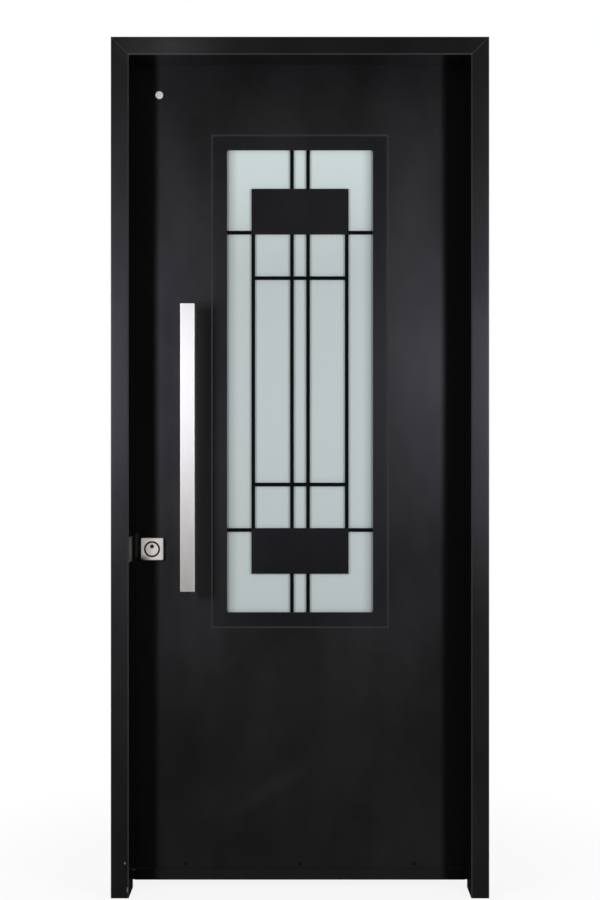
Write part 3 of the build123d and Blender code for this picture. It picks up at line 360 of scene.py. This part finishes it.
def off_plates(nodes, links, coords):
    """A mask that is 1 on the bars of the grille and 0 on its two broad plates."""
    wide = maths(nodes, links, "ABSOLUTE", axis_of(nodes, links, coords, "X"), 0.0)
    rise = maths(nodes, links, "SUBTRACT", axis_of(nodes, links, coords, "Z"), WINDOW_CENTRE)
    tall = maths(nodes, links, "ABSOLUTE", rise, 0.0)
    beside = maths(nodes, links, "GREATER_THAN", wide, PLATE_X)
    near = maths(nodes, links, "LESS_THAN", tall, PLATE_NEAR)
    beyond = maths(nodes, links, "GREATER_THAN", tall, PLATE_FAR)
    return maths(nodes, links, "MAXIMUM", beside, maths(nodes, links, "MAXIMUM", near, beyond))


def groove_mask(nodes, links, coords, centre, radius, floor_y):
    """A mask that is 1 within a radius of an axis along Y, deeper than a given place."""
    flat = nodes.new("ShaderNodeVectorMath")
    flat.operation = "MULTIPLY"
    flat.inputs[1].default_value = (1, 0, 1)
    links.new(coords.outputs["Object"], flat.inputs[0])
    far = nodes.new("ShaderNodeVectorMath")
    far.operation = "DISTANCE"
    far.inputs[1].default_value = (centre[0], 0, centre[1])
    links.new(flat.outputs["Vector"], far.inputs[0])
    near = maths(nodes, links, "LESS_THAN", far.outputs["Value"], radius)
    deep = part_of(nodes, links, coords, "Y", floor_y, floor_y + GROOVE_FADE)
    return maths(nodes, links, "MULTIPLY", near, deep)


def satin_paint(name, colour, level, roughness, guarded=None, chips=(), rubbed_and_lit=0.0, seams=None,
                fold_colour=None, painted_light_patches=()):
    """Powder coat with a faint orange peel, glossier where it is guarded, paler on its folds,
    where worn paint is also a painted highlight, and with pale patches of painted highlight and
    painted reflection.
    """
    material, nodes, links, shader, coords = shader_tree(name)
    cloud = noise(nodes, links, coords, 2.2, detail=2.0)
    base = tint(nodes, links, cloud, scaled(colour, 0.7), scaled(colour, 1.35))
    # Pale patches of painted highlight and painted reflection
    for light_patch in painted_light_patches:
        base = mixed(nodes, links, painted_light_patch(nodes, links, coords, *light_patch), base, PAINTED_HIGHLIGHT_PAINT)
    scuffs = noise(nodes, links, coords, 60.0, (1, 1, 0.3), detail=5.0)
    folds = fold_mask(nodes, links, coords)
    # Paler paint on the folds: worn paint and a painted highlight along the arrises
    bared_and_lit = maths(nodes, links, "MULTIPLY", folds, spread(nodes, links, scuffs, -0.1, rubbed_and_lit))
    base = mixed(nodes, links, bared_and_lit, base, RUBBED_AND_HIGHLIGHT_PAINT)
    if fold_colour:
        base = mixed(nodes, links, folds, base, fold_colour)
        links.new(folds, shader.inputs["Metallic"])
    if seams:
        base = mixed(nodes, links, seams(nodes, links, coords), base, RUBBED_AND_HIGHLIGHT_PAINT)
    smear = noise(nodes, links, coords, 4.0, (1, 1, 0.5), detail=4.0)
    dust = noise(nodes, links, coords, 38.0, detail=3.0)
    worn = maths(nodes, links, "ADD", spread(nodes, links, smear, roughness - 0.17,
                                             roughness + 0.12),
                 spread(nodes, links, dust, -0.02, 0.02))
    if guarded:
        worn = between(nodes, links, guarded(nodes, links, coords), worn, GUARDED_ROUGHNESS)
    worn = between(nodes, links, folds, worn, FOLD_ROUGHNESS)
    for centre, reach in chips:
        base = mixed(nodes, links, spot_mask(nodes, links, coords, centre, reach), base,
                     BARE_STEEL)
    links.new(base, shader.inputs["Base Color"])
    links.new(worn, shader.inputs["Roughness"])
    shader.inputs["Specular IOR Level"].default_value = level
    peel = noise(nodes, links, coords, 420.0, detail=2.0)
    bump(nodes, links, shader, peel, 0.1, 0.0002)
    return material


def brushed_metal(name, colour, roughness, stretch, grain=900.0, relief=0.25, smear=0.0,
                  metallic=1.0, groove=None, shade_patches=()):
    """Metal with a grain along the axis where stretch is small, with patches of painted shade and
    painted shade in a groove.
    """
    material, nodes, links, shader, coords = shader_tree(name)
    streak = noise(nodes, links, coords, grain, stretch, detail=5.0)
    base = tint(nodes, links, streak, scaled(colour, 0.85), scaled(colour, 1.08))
    # Dark patches of painted shade
    for shade_patch in shade_patches:
        base = mixed(nodes, links, painted_light_patch(nodes, links, coords, *shade_patch), base, PAINTED_SHADE_DARK)
    # Painted shade in a ring groove
    if groove:
        base = mixed(nodes, links, groove_mask(nodes, links, coords, *groove), base, PAINTED_SHADE_DARK)
    links.new(base, shader.inputs["Base Color"])
    links.new(spread(nodes, links, streak, roughness - 0.06, roughness + 0.08),
              shader.inputs["Roughness"])
    shader.inputs["Metallic"].default_value = metallic
    if smear:
        upright = nodes.new("ShaderNodeCombineXYZ")
        upright.inputs["Z"].default_value = 1.0
        links.new(upright.outputs["Vector"], shader.inputs["Tangent"])
        shader.inputs["Anisotropic"].default_value = smear
        shader.inputs["Anisotropic Rotation"].default_value = 0.25
    bump(nodes, links, shader, streak, relief, 0.0001)
    return material


def frosted_glass(name, colour):
    """Acid-etched glass, milky, with painted light that makes it a little paler towards the top
    and painted shade at its left and right rims, with a soft sheen.
    """
    material, nodes, links, shader, coords = shader_tree(name)
    milk = noise(nodes, links, coords, 3.0, detail=1.0)
    base = tint(nodes, links, milk, scaled(colour, 0.97), scaled(colour, 1.02))
    # Painted light: paler towards the top
    height = part_of(nodes, links, coords, "Z", *LIT_TOP_Z)
    base = mixed(nodes, links, height, base, scaled(colour, LIT_TOP_GAIN))
    # Painted shade: darker towards the left and right rims
    rim_shade = part_of(nodes, links, coords, "X", *GLASS_SHADE_X)
    base = mixed(nodes, links, maths(nodes, links, "MULTIPLY", rim_shade, 0.5), base,
                 scaled(colour, RIM_SHADE_SHARE))
    links.new(base, shader.inputs["Base Color"])
    shader.inputs["Roughness"].default_value = 0.42
    shader.inputs["Specular IOR Level"].default_value = 0.35
    etch = noise(nodes, links, coords, 1800.0, detail=2.0)
    bump(nodes, links, shader, etch, 0.1, 0.0001)
    return material


def spangled_zinc(name, colour):
    """Galvanised sheet with its crystals."""
    material, nodes, links, shader, coords = shader_tree(name)
    crystals = nodes.new("ShaderNodeTexVoronoi")
    crystals.inputs["Scale"].default_value = 110.0
    links.new(coords.outputs["Object"], crystals.inputs["Vector"])
    links.new(tint(nodes, links, crystals.outputs["Color"], scaled(colour, 0.75),
                   scaled(colour, 1.15)), shader.inputs["Base Color"])
    links.new(spread(nodes, links, crystals.outputs["Distance"], 0.35, 0.55),
              shader.inputs["Roughness"])
    shader.inputs["Metallic"].default_value = 0.9
    return material


def moulded_rubber(name, colour):
    """Dull rubber with a fine skin."""
    material, nodes, links, shader, coords = shader_tree(name)
    skin = noise(nodes, links, coords, 260.0, detail=4.0)
    links.new(tint(nodes, links, skin, scaled(colour, 0.7), scaled(colour, 1.3)),
              shader.inputs["Base Color"])
    shader.inputs["Roughness"].default_value = 0.8
    bump(nodes, links, shader, skin, 0.3, 0.0002)
    return material


def felted_wool(name, colour):
    """Pressed mineral fibres."""
    material, nodes, links, shader, coords = shader_tree(name)
    fibre = noise(nodes, links, coords, 300.0, (1, 4, 1), detail=8.0)
    links.new(tint(nodes, links, fibre, scaled(colour, 0.6), scaled(colour, 1.2)),
              shader.inputs["Base Color"])
    shader.inputs["Roughness"].default_value = 0.95
    bump(nodes, links, shader, fibre, 0.8, 0.002)
    return material


def finish_all(settings):
    """The finishes by the name of the slot that the record gives."""
    return {
        # The leaf's pale patches are painted highlights and reflections, the head's is a painted
        # reflection, and the frame's worn folds are partly a painted highlight
        "door_paint": satin_paint("leaf_paint", settings.leaf, level=0.95, roughness=0.4,
                                  guarded=behind_jambs, chips=LEAF_SPECKS,
                                  fold_colour=DULL_FOLD, painted_light_patches=LEAF_PAINTED_HIGHLIGHTS),
        "frame_paint": satin_paint("frame_paint", settings.jamb, level=0.72, roughness=0.4,
                                   guarded=inside_reveal, chips=FOOT_CHIPS, rubbed_and_lit=0.6,
                                   seams=mitre_seams, painted_light_patches=HEAD_PAINTED_REFLECTION),
        "bezel_paint": satin_paint("bezel_paint", settings.bezel, level=0.6, roughness=0.43),
        "grille_paint": satin_paint("grille_paint", settings.grille, level=0.4, roughness=0.45,
                                    guarded=off_plates),
        "strip_black": satin_paint("strip_black", settings.bezel, level=0.45, roughness=0.5,
                                   guarded=behind_jambs, fold_colour=DULL_FOLD),
        "dark_screw": satin_paint("dark_screw", scaled(settings.grille, 0.6), level=0.2,
                                  roughness=0.4),
        "frosted_glass": frosted_glass("frosted_glass", settings.glass),
        "stainless": brushed_metal("brushed_stainless", settings.steel, roughness=0.5,
                                   stretch=(1, 1, 0.015), smear=0.6),
        "satin_nickel": brushed_metal("satin_nickel", settings.nickel, roughness=0.7,
                                      stretch=(0.02, 1, 1), metallic=0.8),
        "zinc_steel": spangled_zinc("galvanised_sheet", settings.zinc),
        "brass": brushed_metal("turned_brass", settings.brass, roughness=0.3,
                               stretch=(1, 0.05, 1)),
        "spacer_aluminium": brushed_metal("spacer_aluminium", settings.zinc, roughness=0.4,
                                          stretch=(1, 1, 0.05)),
        "rubber": moulded_rubber("moulded_rubber", settings.rubber),
        "mineral_wool": felted_wool("mineral_wool", settings.wool),
    }


def finish_some(settings):
    """The finishes of single solids that differ from the rest of their slot."""
    return {
        # A lighter, almost unmetallic copy of the satin nickel: painted light that keeps the
        # guard bright where the jambs shade it
        "lock_rosette": brushed_metal("lock_guard_lit", scaled(settings.nickel, 1.2),
                                      roughness=0.45, stretch=(0.02, 1, 1), metallic=0.15,
                                      groove=LOCK_GROOVE, shade_patches=GUARD_PAINTED_SHADE),
        "badge_disc": brushed_metal("blasted_disc", settings.steel, roughness=0.8,
                                    stretch=(1, 1, 0.3), metallic=0.45),
        # Steel darkened to a quarter of its colour
        "jamb_wear_plate": brushed_metal("darkened_plate", scaled(settings.steel, 0.25),
                                         roughness=0.5, stretch=(0.05, 1, 1)),
        # A darker copy of the satin nickel: painted shade on the plug nose inside the keyhole
        "key_plug": brushed_metal("plug_nose_shaded", scaled(settings.nickel, 0.25), roughness=0.5,
                                  stretch=(1, 0.05, 1)),
    }


def deselect():
    """Nothing is selected or in edit mode."""
    if bpy.context.object and bpy.context.object.mode != "OBJECT":
        bpy.ops.object.mode_set(mode="OBJECT")
    bpy.ops.object.select_all(action="DESELECT")


def settle(piece, name):
    """Puts the place of a piece in its mesh and names it."""
    deselect()
    piece.select_set(True)
    bpy.context.view_layer.objects.active = piece
    bpy.ops.object.transform_apply(location=True, rotation=True, scale=True)
    piece.name = name
    piece.data.name = name
    return piece


def dress(piece, material):
    """One finish all over a piece."""
    piece.data.materials.clear()
    piece.data.materials.append(material)


def cut(piece, cutter):
    """Takes one solid out of another and removes the cutter."""
    modifier = piece.modifiers.new("cut", "BOOLEAN")
    modifier.operation = "DIFFERENCE"
    modifier.solver = "EXACT"
    modifier.object = cutter
    deselect()
    piece.select_set(True)
    bpy.context.view_layer.objects.active = piece
    bpy.ops.object.modifier_apply(modifier=modifier.name)
    bpy.data.objects.remove(cutter, do_unlink=True)


def cross_cutter(size, depth, top):
    """Two crossed bars that taper downwards, for a cross recess in a head whose top is at z."""
    bars = []
    for turn in (0, math.pi / 2):
        bpy.ops.mesh.primitive_cube_add(size=1, location=(0, 0, top - depth / 2 + 0.0001),
                                        scale=(size, size * 0.24, depth))
        bar = bpy.context.object
        for vertex in bar.data.vertices:
            if vertex.co.z < 0:
                vertex.co.x *= 0.45
        bar.rotation_euler.z = turn
        bars.append(bar)
    deselect()
    for bar in bars:
        bar.select_set(True)
    bpy.context.view_layer.objects.active = bars[0]
    bpy.ops.object.transform_apply(location=True, rotation=True, scale=True)
    modifier = bars[0].modifiers.new("join", "BOOLEAN")
    modifier.operation = "UNION"
    modifier.object = bars[1]
    bpy.ops.object.modifier_apply(modifier=modifier.name)
    bpy.data.objects.remove(bars[1], do_unlink=True)
    return bars[0]


def round_edges(piece, width, segments=2, angle=0.6):
    """Bevels the sharp edges of a piece."""
    modifier = piece.modifiers.new("edges", "BEVEL")
    modifier.width = width
    modifier.segments = segments
    modifier.limit_method = "ANGLE"
    modifier.angle_limit = angle
    deselect()
    piece.select_set(True)
    bpy.context.view_layer.objects.active = piece
    bpy.ops.object.modifier_apply(modifier=modifier.name)
    bpy.ops.object.shade_smooth_by_angle(angle=math.radians(35))


def pan_screw(head, shank, length):
    """A pan-head screw whose head stands on z = 0, upwards, with a cross recess."""
    height = head * 0.28
    bpy.ops.mesh.primitive_cylinder_add(vertices=32, radius=head / 2, depth=height,
                                        location=(0, 0, height / 2))
    piece = bpy.context.object
    bpy.ops.object.transform_apply(location=True)
    round_edges(piece, head * 0.12, 3, 1.0)
    cut(piece, cross_cutter(head * 0.55, height * 0.7, height))
    bpy.ops.mesh.primitive_cylinder_add(vertices=20, radius=shank / 2, depth=length,
                                        location=(0, 0, -length / 2 + 0.0003))
    stem = bpy.context.object
    deselect()
    piece.select_set(True)
    stem.select_set(True)
    bpy.context.view_layer.objects.active = piece
    bpy.ops.object.join()
    return piece


def flush_screw(head, shank, length):
    """A countersunk screw whose top is at z = 0, with a cross recess."""
    sink = (head - shank) / 2
    bpy.ops.mesh.primitive_cone_add(vertices=32, radius1=shank / 2, radius2=head / 2, depth=sink,
                                    location=(0, 0, -sink / 2))
    piece = bpy.context.object
    bpy.ops.object.transform_apply(location=True)
    cut(piece, cross_cutter(head * 0.5, sink * 0.85, 0.0))
    bpy.ops.mesh.primitive_cylinder_add(vertices=20, radius=shank / 2, depth=length - sink,
                                        location=(0, 0, -(length + sink) / 2 + 0.0002))
    stem = bpy.context.object
    deselect()
    piece.select_set(True)
    stem.select_set(True)
    bpy.context.view_layer.objects.active = piece
    bpy.ops.object.join()
    bpy.ops.object.shade_smooth_by_angle(angle=math.radians(35))
    return piece


def ripple_bead(radius, bottom, top):
    """A weld bead along Z: flattened drops that lap over each other, merged into one skin."""
    deselect()
    bpy.ops.mesh.primitive_uv_sphere_add(segments=14, ring_count=8, radius=radius,
                                         location=(0, 0, 0))
    drop = bpy.context.object
    drop.scale = (1.0, 1.0, DROP_FLAT)
    bpy.ops.object.transform_apply(location=False, rotation=False, scale=True)
    row = drop.modifiers.new("row", "ARRAY")
    row.use_relative_offset = False
    row.use_constant_offset = True
    row.constant_offset_displace = (0, 0, radius * DROP_STEP)
    row.count = max(2, round((top - bottom) / (radius * DROP_STEP)))
    bpy.ops.object.modifier_apply(modifier=row.name)
    skin = drop.modifiers.new("skin", "REMESH")
    skin.mode = "VOXEL"
    skin.voxel_size = radius / 5
    bpy.ops.object.modifier_apply(modifier=skin.name)
    bpy.ops.object.shade_smooth()
    return drop


def place_copies(first, name, places, facing, material, body, node):
    """Copies a screw to its places, turned to face a direction, and names what it stands for."""
    turn = Vector(facing).to_track_quat("Z", "Y").to_matrix().to_4x4()
    made = []
    for number, place in enumerate(places, 1):
        piece = first.copy()
        piece.data = first.data.copy()
        bpy.context.collection.objects.link(piece)
        roll = Matrix.Rotation(SCREW_ROLL * number, 4, "Z")
        piece.matrix_world = Matrix.Translation(place) @ turn @ roll
        settle(piece, f"{name}_{number}")
        dress(piece, material)
        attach(piece, body)
        made.append(piece)
    bpy.data.objects.remove(first, do_unlink=True)
    for piece in made:
        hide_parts(node)
    return made


def pale_floor():
    """A white floor that takes the object's shadow close to it."""
    material = bpy.data.materials.new("pale_floor")
    material.use_nodes = True
    nodes, links = material.node_tree.nodes, material.node_tree.links
    nodes.clear()
    output = nodes.new("ShaderNodeOutputMaterial")
    mix = nodes.new("ShaderNodeMixShader")
    glow = nodes.new("ShaderNodeEmission")
    matt = nodes.new("ShaderNodeBsdfDiffuse")
    matt.inputs["Color"].default_value = (FLOOR_GREY, FLOOR_GREY, FLOOR_GREY, 1)
    coords = nodes.new("ShaderNodeTexCoord")
    length = nodes.new("ShaderNodeVectorMath")
    length.operation = "LENGTH"
    links.new(coords.outputs["Object"], length.inputs[0])
    fade = nodes.new("ShaderNodeMapRange")
    fade.interpolation_type = "SMOOTHSTEP"
    fade.inputs["From Min"].default_value, fade.inputs["From Max"].default_value = SHADOW_REACH
    fade.inputs["To Min"].default_value = SHADOW_SHARE
    fade.inputs["To Max"].default_value = 1.0
    links.new(length.outputs["Value"], fade.inputs["Value"])
    path = nodes.new("ShaderNodeLightPath")
    share = maths(nodes, links, "MULTIPLY", path.outputs["Is Camera Ray"], fade.outputs["Result"])
    links.new(share, mix.inputs["Fac"])
    links.new(matt.outputs["BSDF"], mix.inputs[1])
    links.new(glow.outputs["Emission"], mix.inputs[2])
    links.new(mix.outputs["Shader"], output.inputs["Surface"])
    return material


def white_world(scene):
    """A white backdrop and an even soft fill. Gloss shows pale side walls and dim ends."""
    world = bpy.data.worlds.new("studio")
    scene.world = world
    world.use_nodes = True
    nodes, links = world.node_tree.nodes, world.node_tree.links
    nodes.clear()
    output = nodes.new("ShaderNodeOutputWorld")
    light = nodes.new("ShaderNodeBackground")
    coords = nodes.new("ShaderNodeTexCoord")
    parts = nodes.new("ShaderNodeSeparateXYZ")
    links.new(coords.outputs["Generated"], parts.inputs["Vector"])
    room = nodes.new("ShaderNodeMapRange")
    room.interpolation_type = "SMOOTHSTEP"
    room.inputs["From Min"].default_value, room.inputs["From Max"].default_value = ROOM_TURN
    room.inputs["To Min"].default_value = ROOM_SIDES
    room.inputs["To Max"].default_value = ROOM_DARK
    links.new(maths(nodes, links, "ABSOLUTE", parts.outputs["Y"], 0.0), room.inputs["Value"])
    path = nodes.new("ShaderNodeLightPath")
    gloss = maths(nodes, links, "MAXIMUM", path.outputs["Is Glossy Ray"],
                  path.outputs["Is Transmission Ray"])
    links.new(mixed(nodes, links, path.outputs["Is Camera Ray"], FILL_TINT, (1, 1, 1)),
              light.inputs["Color"])
    strength = FILL
    for factor, value in ((gloss, room.outputs["Result"]), (path.outputs["Is Camera Ray"], 1.0)):
        kept = maths(nodes, links, "MULTIPLY", maths(nodes, links, "SUBTRACT", 1.0, factor),
                     strength)
        strength = maths(nodes, links, "ADD", kept,
                         maths(nodes, links, "MULTIPLY", factor, value))
    links.new(strength, light.inputs["Strength"])
    links.new(light.outputs["Background"], output.inputs["Surface"])


def soft_lamp(name, place, aim, width, height, power):
    """A rectangular area lamp that points at a place."""
    data = bpy.data.lights.new(name, "AREA")
    data.shape = "RECTANGLE"
    data.size = width
    data.size_y = height
    data.energy = power
    data.color = LAMP_TINT
    lamp = bpy.data.objects.new(name, data)
    bpy.context.scene.collection.objects.link(lamp)
    lamp.location = place
    lamp.rotation_euler = (Vector(aim) - Vector(place)).to_track_quat("-Z", "Y").to_euler()


class DOOR_OT_finishes(Operator):
    """Gives every solid that is carried over its finish"""
    bl_idname = "door.finishes"
    bl_label = "Finishes"

    def execute(self, context):
        settings = context.scene.door_finishes
        FINISHES.update(finish_all(settings))
        for row in frame["record"]["subparts"]:
            dress(frame["nodes"][row["node"]], FINISHES[row["material_slot"]])
        for node, material in finish_some(settings).items():
            dress(frame["nodes"][node], material)
        return {"FINISHED"}


class DOOR_OT_stage(Operator):
    """Adds the floor, the soft lamps and the camera"""
    bl_idname = "door.stage"
    bl_label = "Stage"

    def execute(self, context):
        scene = context.scene
        scene.view_settings.view_transform = "Standard"
        deselect()
        bpy.ops.mesh.primitive_plane_add(size=FLOOR_SIZE, location=(0, 0, 0))
        floor = settle(bpy.context.object, "floor")
        dress(floor, pale_floor())
        floor.visible_glossy = False
        white_world(scene)
        for name, place, aim, width, height, power in LAMPS:
            soft_lamp(name, place, aim, width, height, power)
        camera = bpy.data.objects.new("camera", bpy.data.cameras.new("camera"))
        scene.collection.objects.link(camera)
        camera.location = CAMERA_PLACE
        camera.rotation_euler = (math.pi / 2, 0, 0)
        camera.data.sensor_width = SENSOR_WIDTH
        camera.data.lens = CAMERA_LENS
        scene.camera = camera
        return {"FINISHED"}


class DOOR_OT_bottom_screws(Operator):
    """Adds the dark pan-head screws above the bottom strip"""
    bl_idname = "door.bottom_screws"
    bl_label = "Bottom screws"

    def execute(self, context):
        low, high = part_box("bottom_screws")
        middle = (low[2] + high[2]) / 2
        half = (high[2] - low[2]) / 2
        places = [(x, LEAF_FRONT, middle) for x in (low[0] + half, 0.0, high[0] - half)]
        first = pan_screw(context.scene.door_fittings.bottom_head, BOTTOM_SHANK,
                          BOTTOM_LENGTH)
        place_copies(first, "bottom_screw", places, (0, -1, 0), FINISHES["dark_screw"], "leaf",
                     "bottom_screws")
        return {"FINISHED"}


class DOOR_OT_bezel_screws(Operator):
    """Adds the countersunk screws of the inside window bezel"""
    bl_idname = "door.bezel_screws"
    bl_label = "Bezel screws"

    def execute(self, context):
        low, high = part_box("bezel_screws")
        half = context.scene.door_fittings.bezel_head / 2
        left, right = low[0] + half, high[0] - half
        bottom, top = low[2] + half, high[2] - half
        middle = (bottom + top) / 2
        step = (top - bottom) / 5
        places = [(x, high[1], middle + count * step)
                  for x in (left, right) for count in BEZEL_SIDE_STEPS]
        places += [(x, high[1], z) for x in BEZEL_END_X for z in (bottom, top)]
        first = flush_screw(2 * half, BEZEL_SHANK, BEZEL_LENGTH)
        place_copies(first, "bezel_screw", places, (0, 1, 0), FINISHES["dark_screw"], "leaf",
                     "bezel_screws")
        return {"FINISHED"}


class DOOR_OT_lock_screws(Operator):
    """Adds the countersunk screws of the lock faceplate and of the strike"""
    bl_idname = "door.lock_screws"
    bl_label = "Lock screws"

    def execute(self, context):
        head = context.scene.door_fittings.lock_head
        for node, body, toward in (("faceplate_screws", "leaf", -1),
                                   ("strike_screws", "frame", 1)):
            low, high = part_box(node)
            edge = low[0] if toward < 0 else high[0]
            middle = (low[1] + high[1]) / 2
            places = [(edge, middle, low[2] + head / 2), (edge, middle, high[2] - head / 2)]
            first = flush_screw(head, LOCK_SHANK, high[0] - low[0])
            place_copies(first, node[:-1], places, (toward, 0, 0), FINISHES["stainless"], body,
                         node)
        return {"FINISHED"}


class DOOR_OT_hinge_welds(Operator):
    """Adds the rippled weld beads along the free edges of the hinge wings"""
    bl_idname = "door.hinge_welds"
    bl_label = "Hinge welds"

    def execute(self, context):
        radius = context.scene.door_fittings.weld_radius
        for place in ("bottom", "middle", "top"):
            for node, body, slot, edge in (("hinge_frame_", "frame", "frame_paint", 1),
                                           ("hinge_leaf_", "leaf", "door_paint", -1)):
                low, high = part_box(node + place)
                sink = radius * BEAD_SINK
                x = high[0] + sink if edge > 0 else low[0] - sink
                y = FRAME_BACK if edge > 0 else LEAF_BACK
                bottom, top = low[2] + WING_STEP, high[2] - WING_STEP
                bead = ripple_bead(radius, bottom, top)
                bead.location = (x, y, bottom)
                settle(bead, f"{node}{place}_weld")
                dress(bead, FINISHES[slot])
                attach(bead, body)
        return {"FINISHED"}


class DOOR_PT_panel(Panel):
    """Lists the steps in the sidebar"""
    bl_idname = "DOOR_PT_panel"
    bl_label = "Steel entrance door"
    bl_space_type = "VIEW_3D"
    bl_region_type = "UI"
    bl_category = "Door"

    def draw(self, context):
        for group in (context.scene.door_finishes, context.scene.door_fittings):
            for name in group.bl_rna.properties.keys():
                if name not in {"rna_type", "name"}:
                    self.layout.prop(group, name)
        for step in STEPS:
            self.layout.operator(step.bl_idname)


STEPS = (DOOR_OT_finishes, DOOR_OT_stage, DOOR_OT_bottom_screws, DOOR_OT_bezel_screws,
         DOOR_OT_lock_screws, DOOR_OT_hinge_welds)
CLASSES = (DOOR_PG_finishes, DOOR_PG_fittings, *STEPS, DOOR_PT_panel)


def register():
    for item in CLASSES:
        bpy.utils.register_class(item)
    bpy.types.Scene.door_finishes = PointerProperty(type=DOOR_PG_finishes)
    bpy.types.Scene.door_fittings = PointerProperty(type=DOOR_PG_fittings)


def unregister():
    del bpy.types.Scene.door_fittings
    del bpy.types.Scene.door_finishes
    for item in reversed(CLASSES):
        bpy.utils.unregister_class(item)


def main():
    """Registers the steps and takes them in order."""
    register()
    for step in STEPS:
        group, name = step.bl_idname.split(".")
        getattr(getattr(bpy.ops, group), name)()


if __name__ == "__main__":
    main()
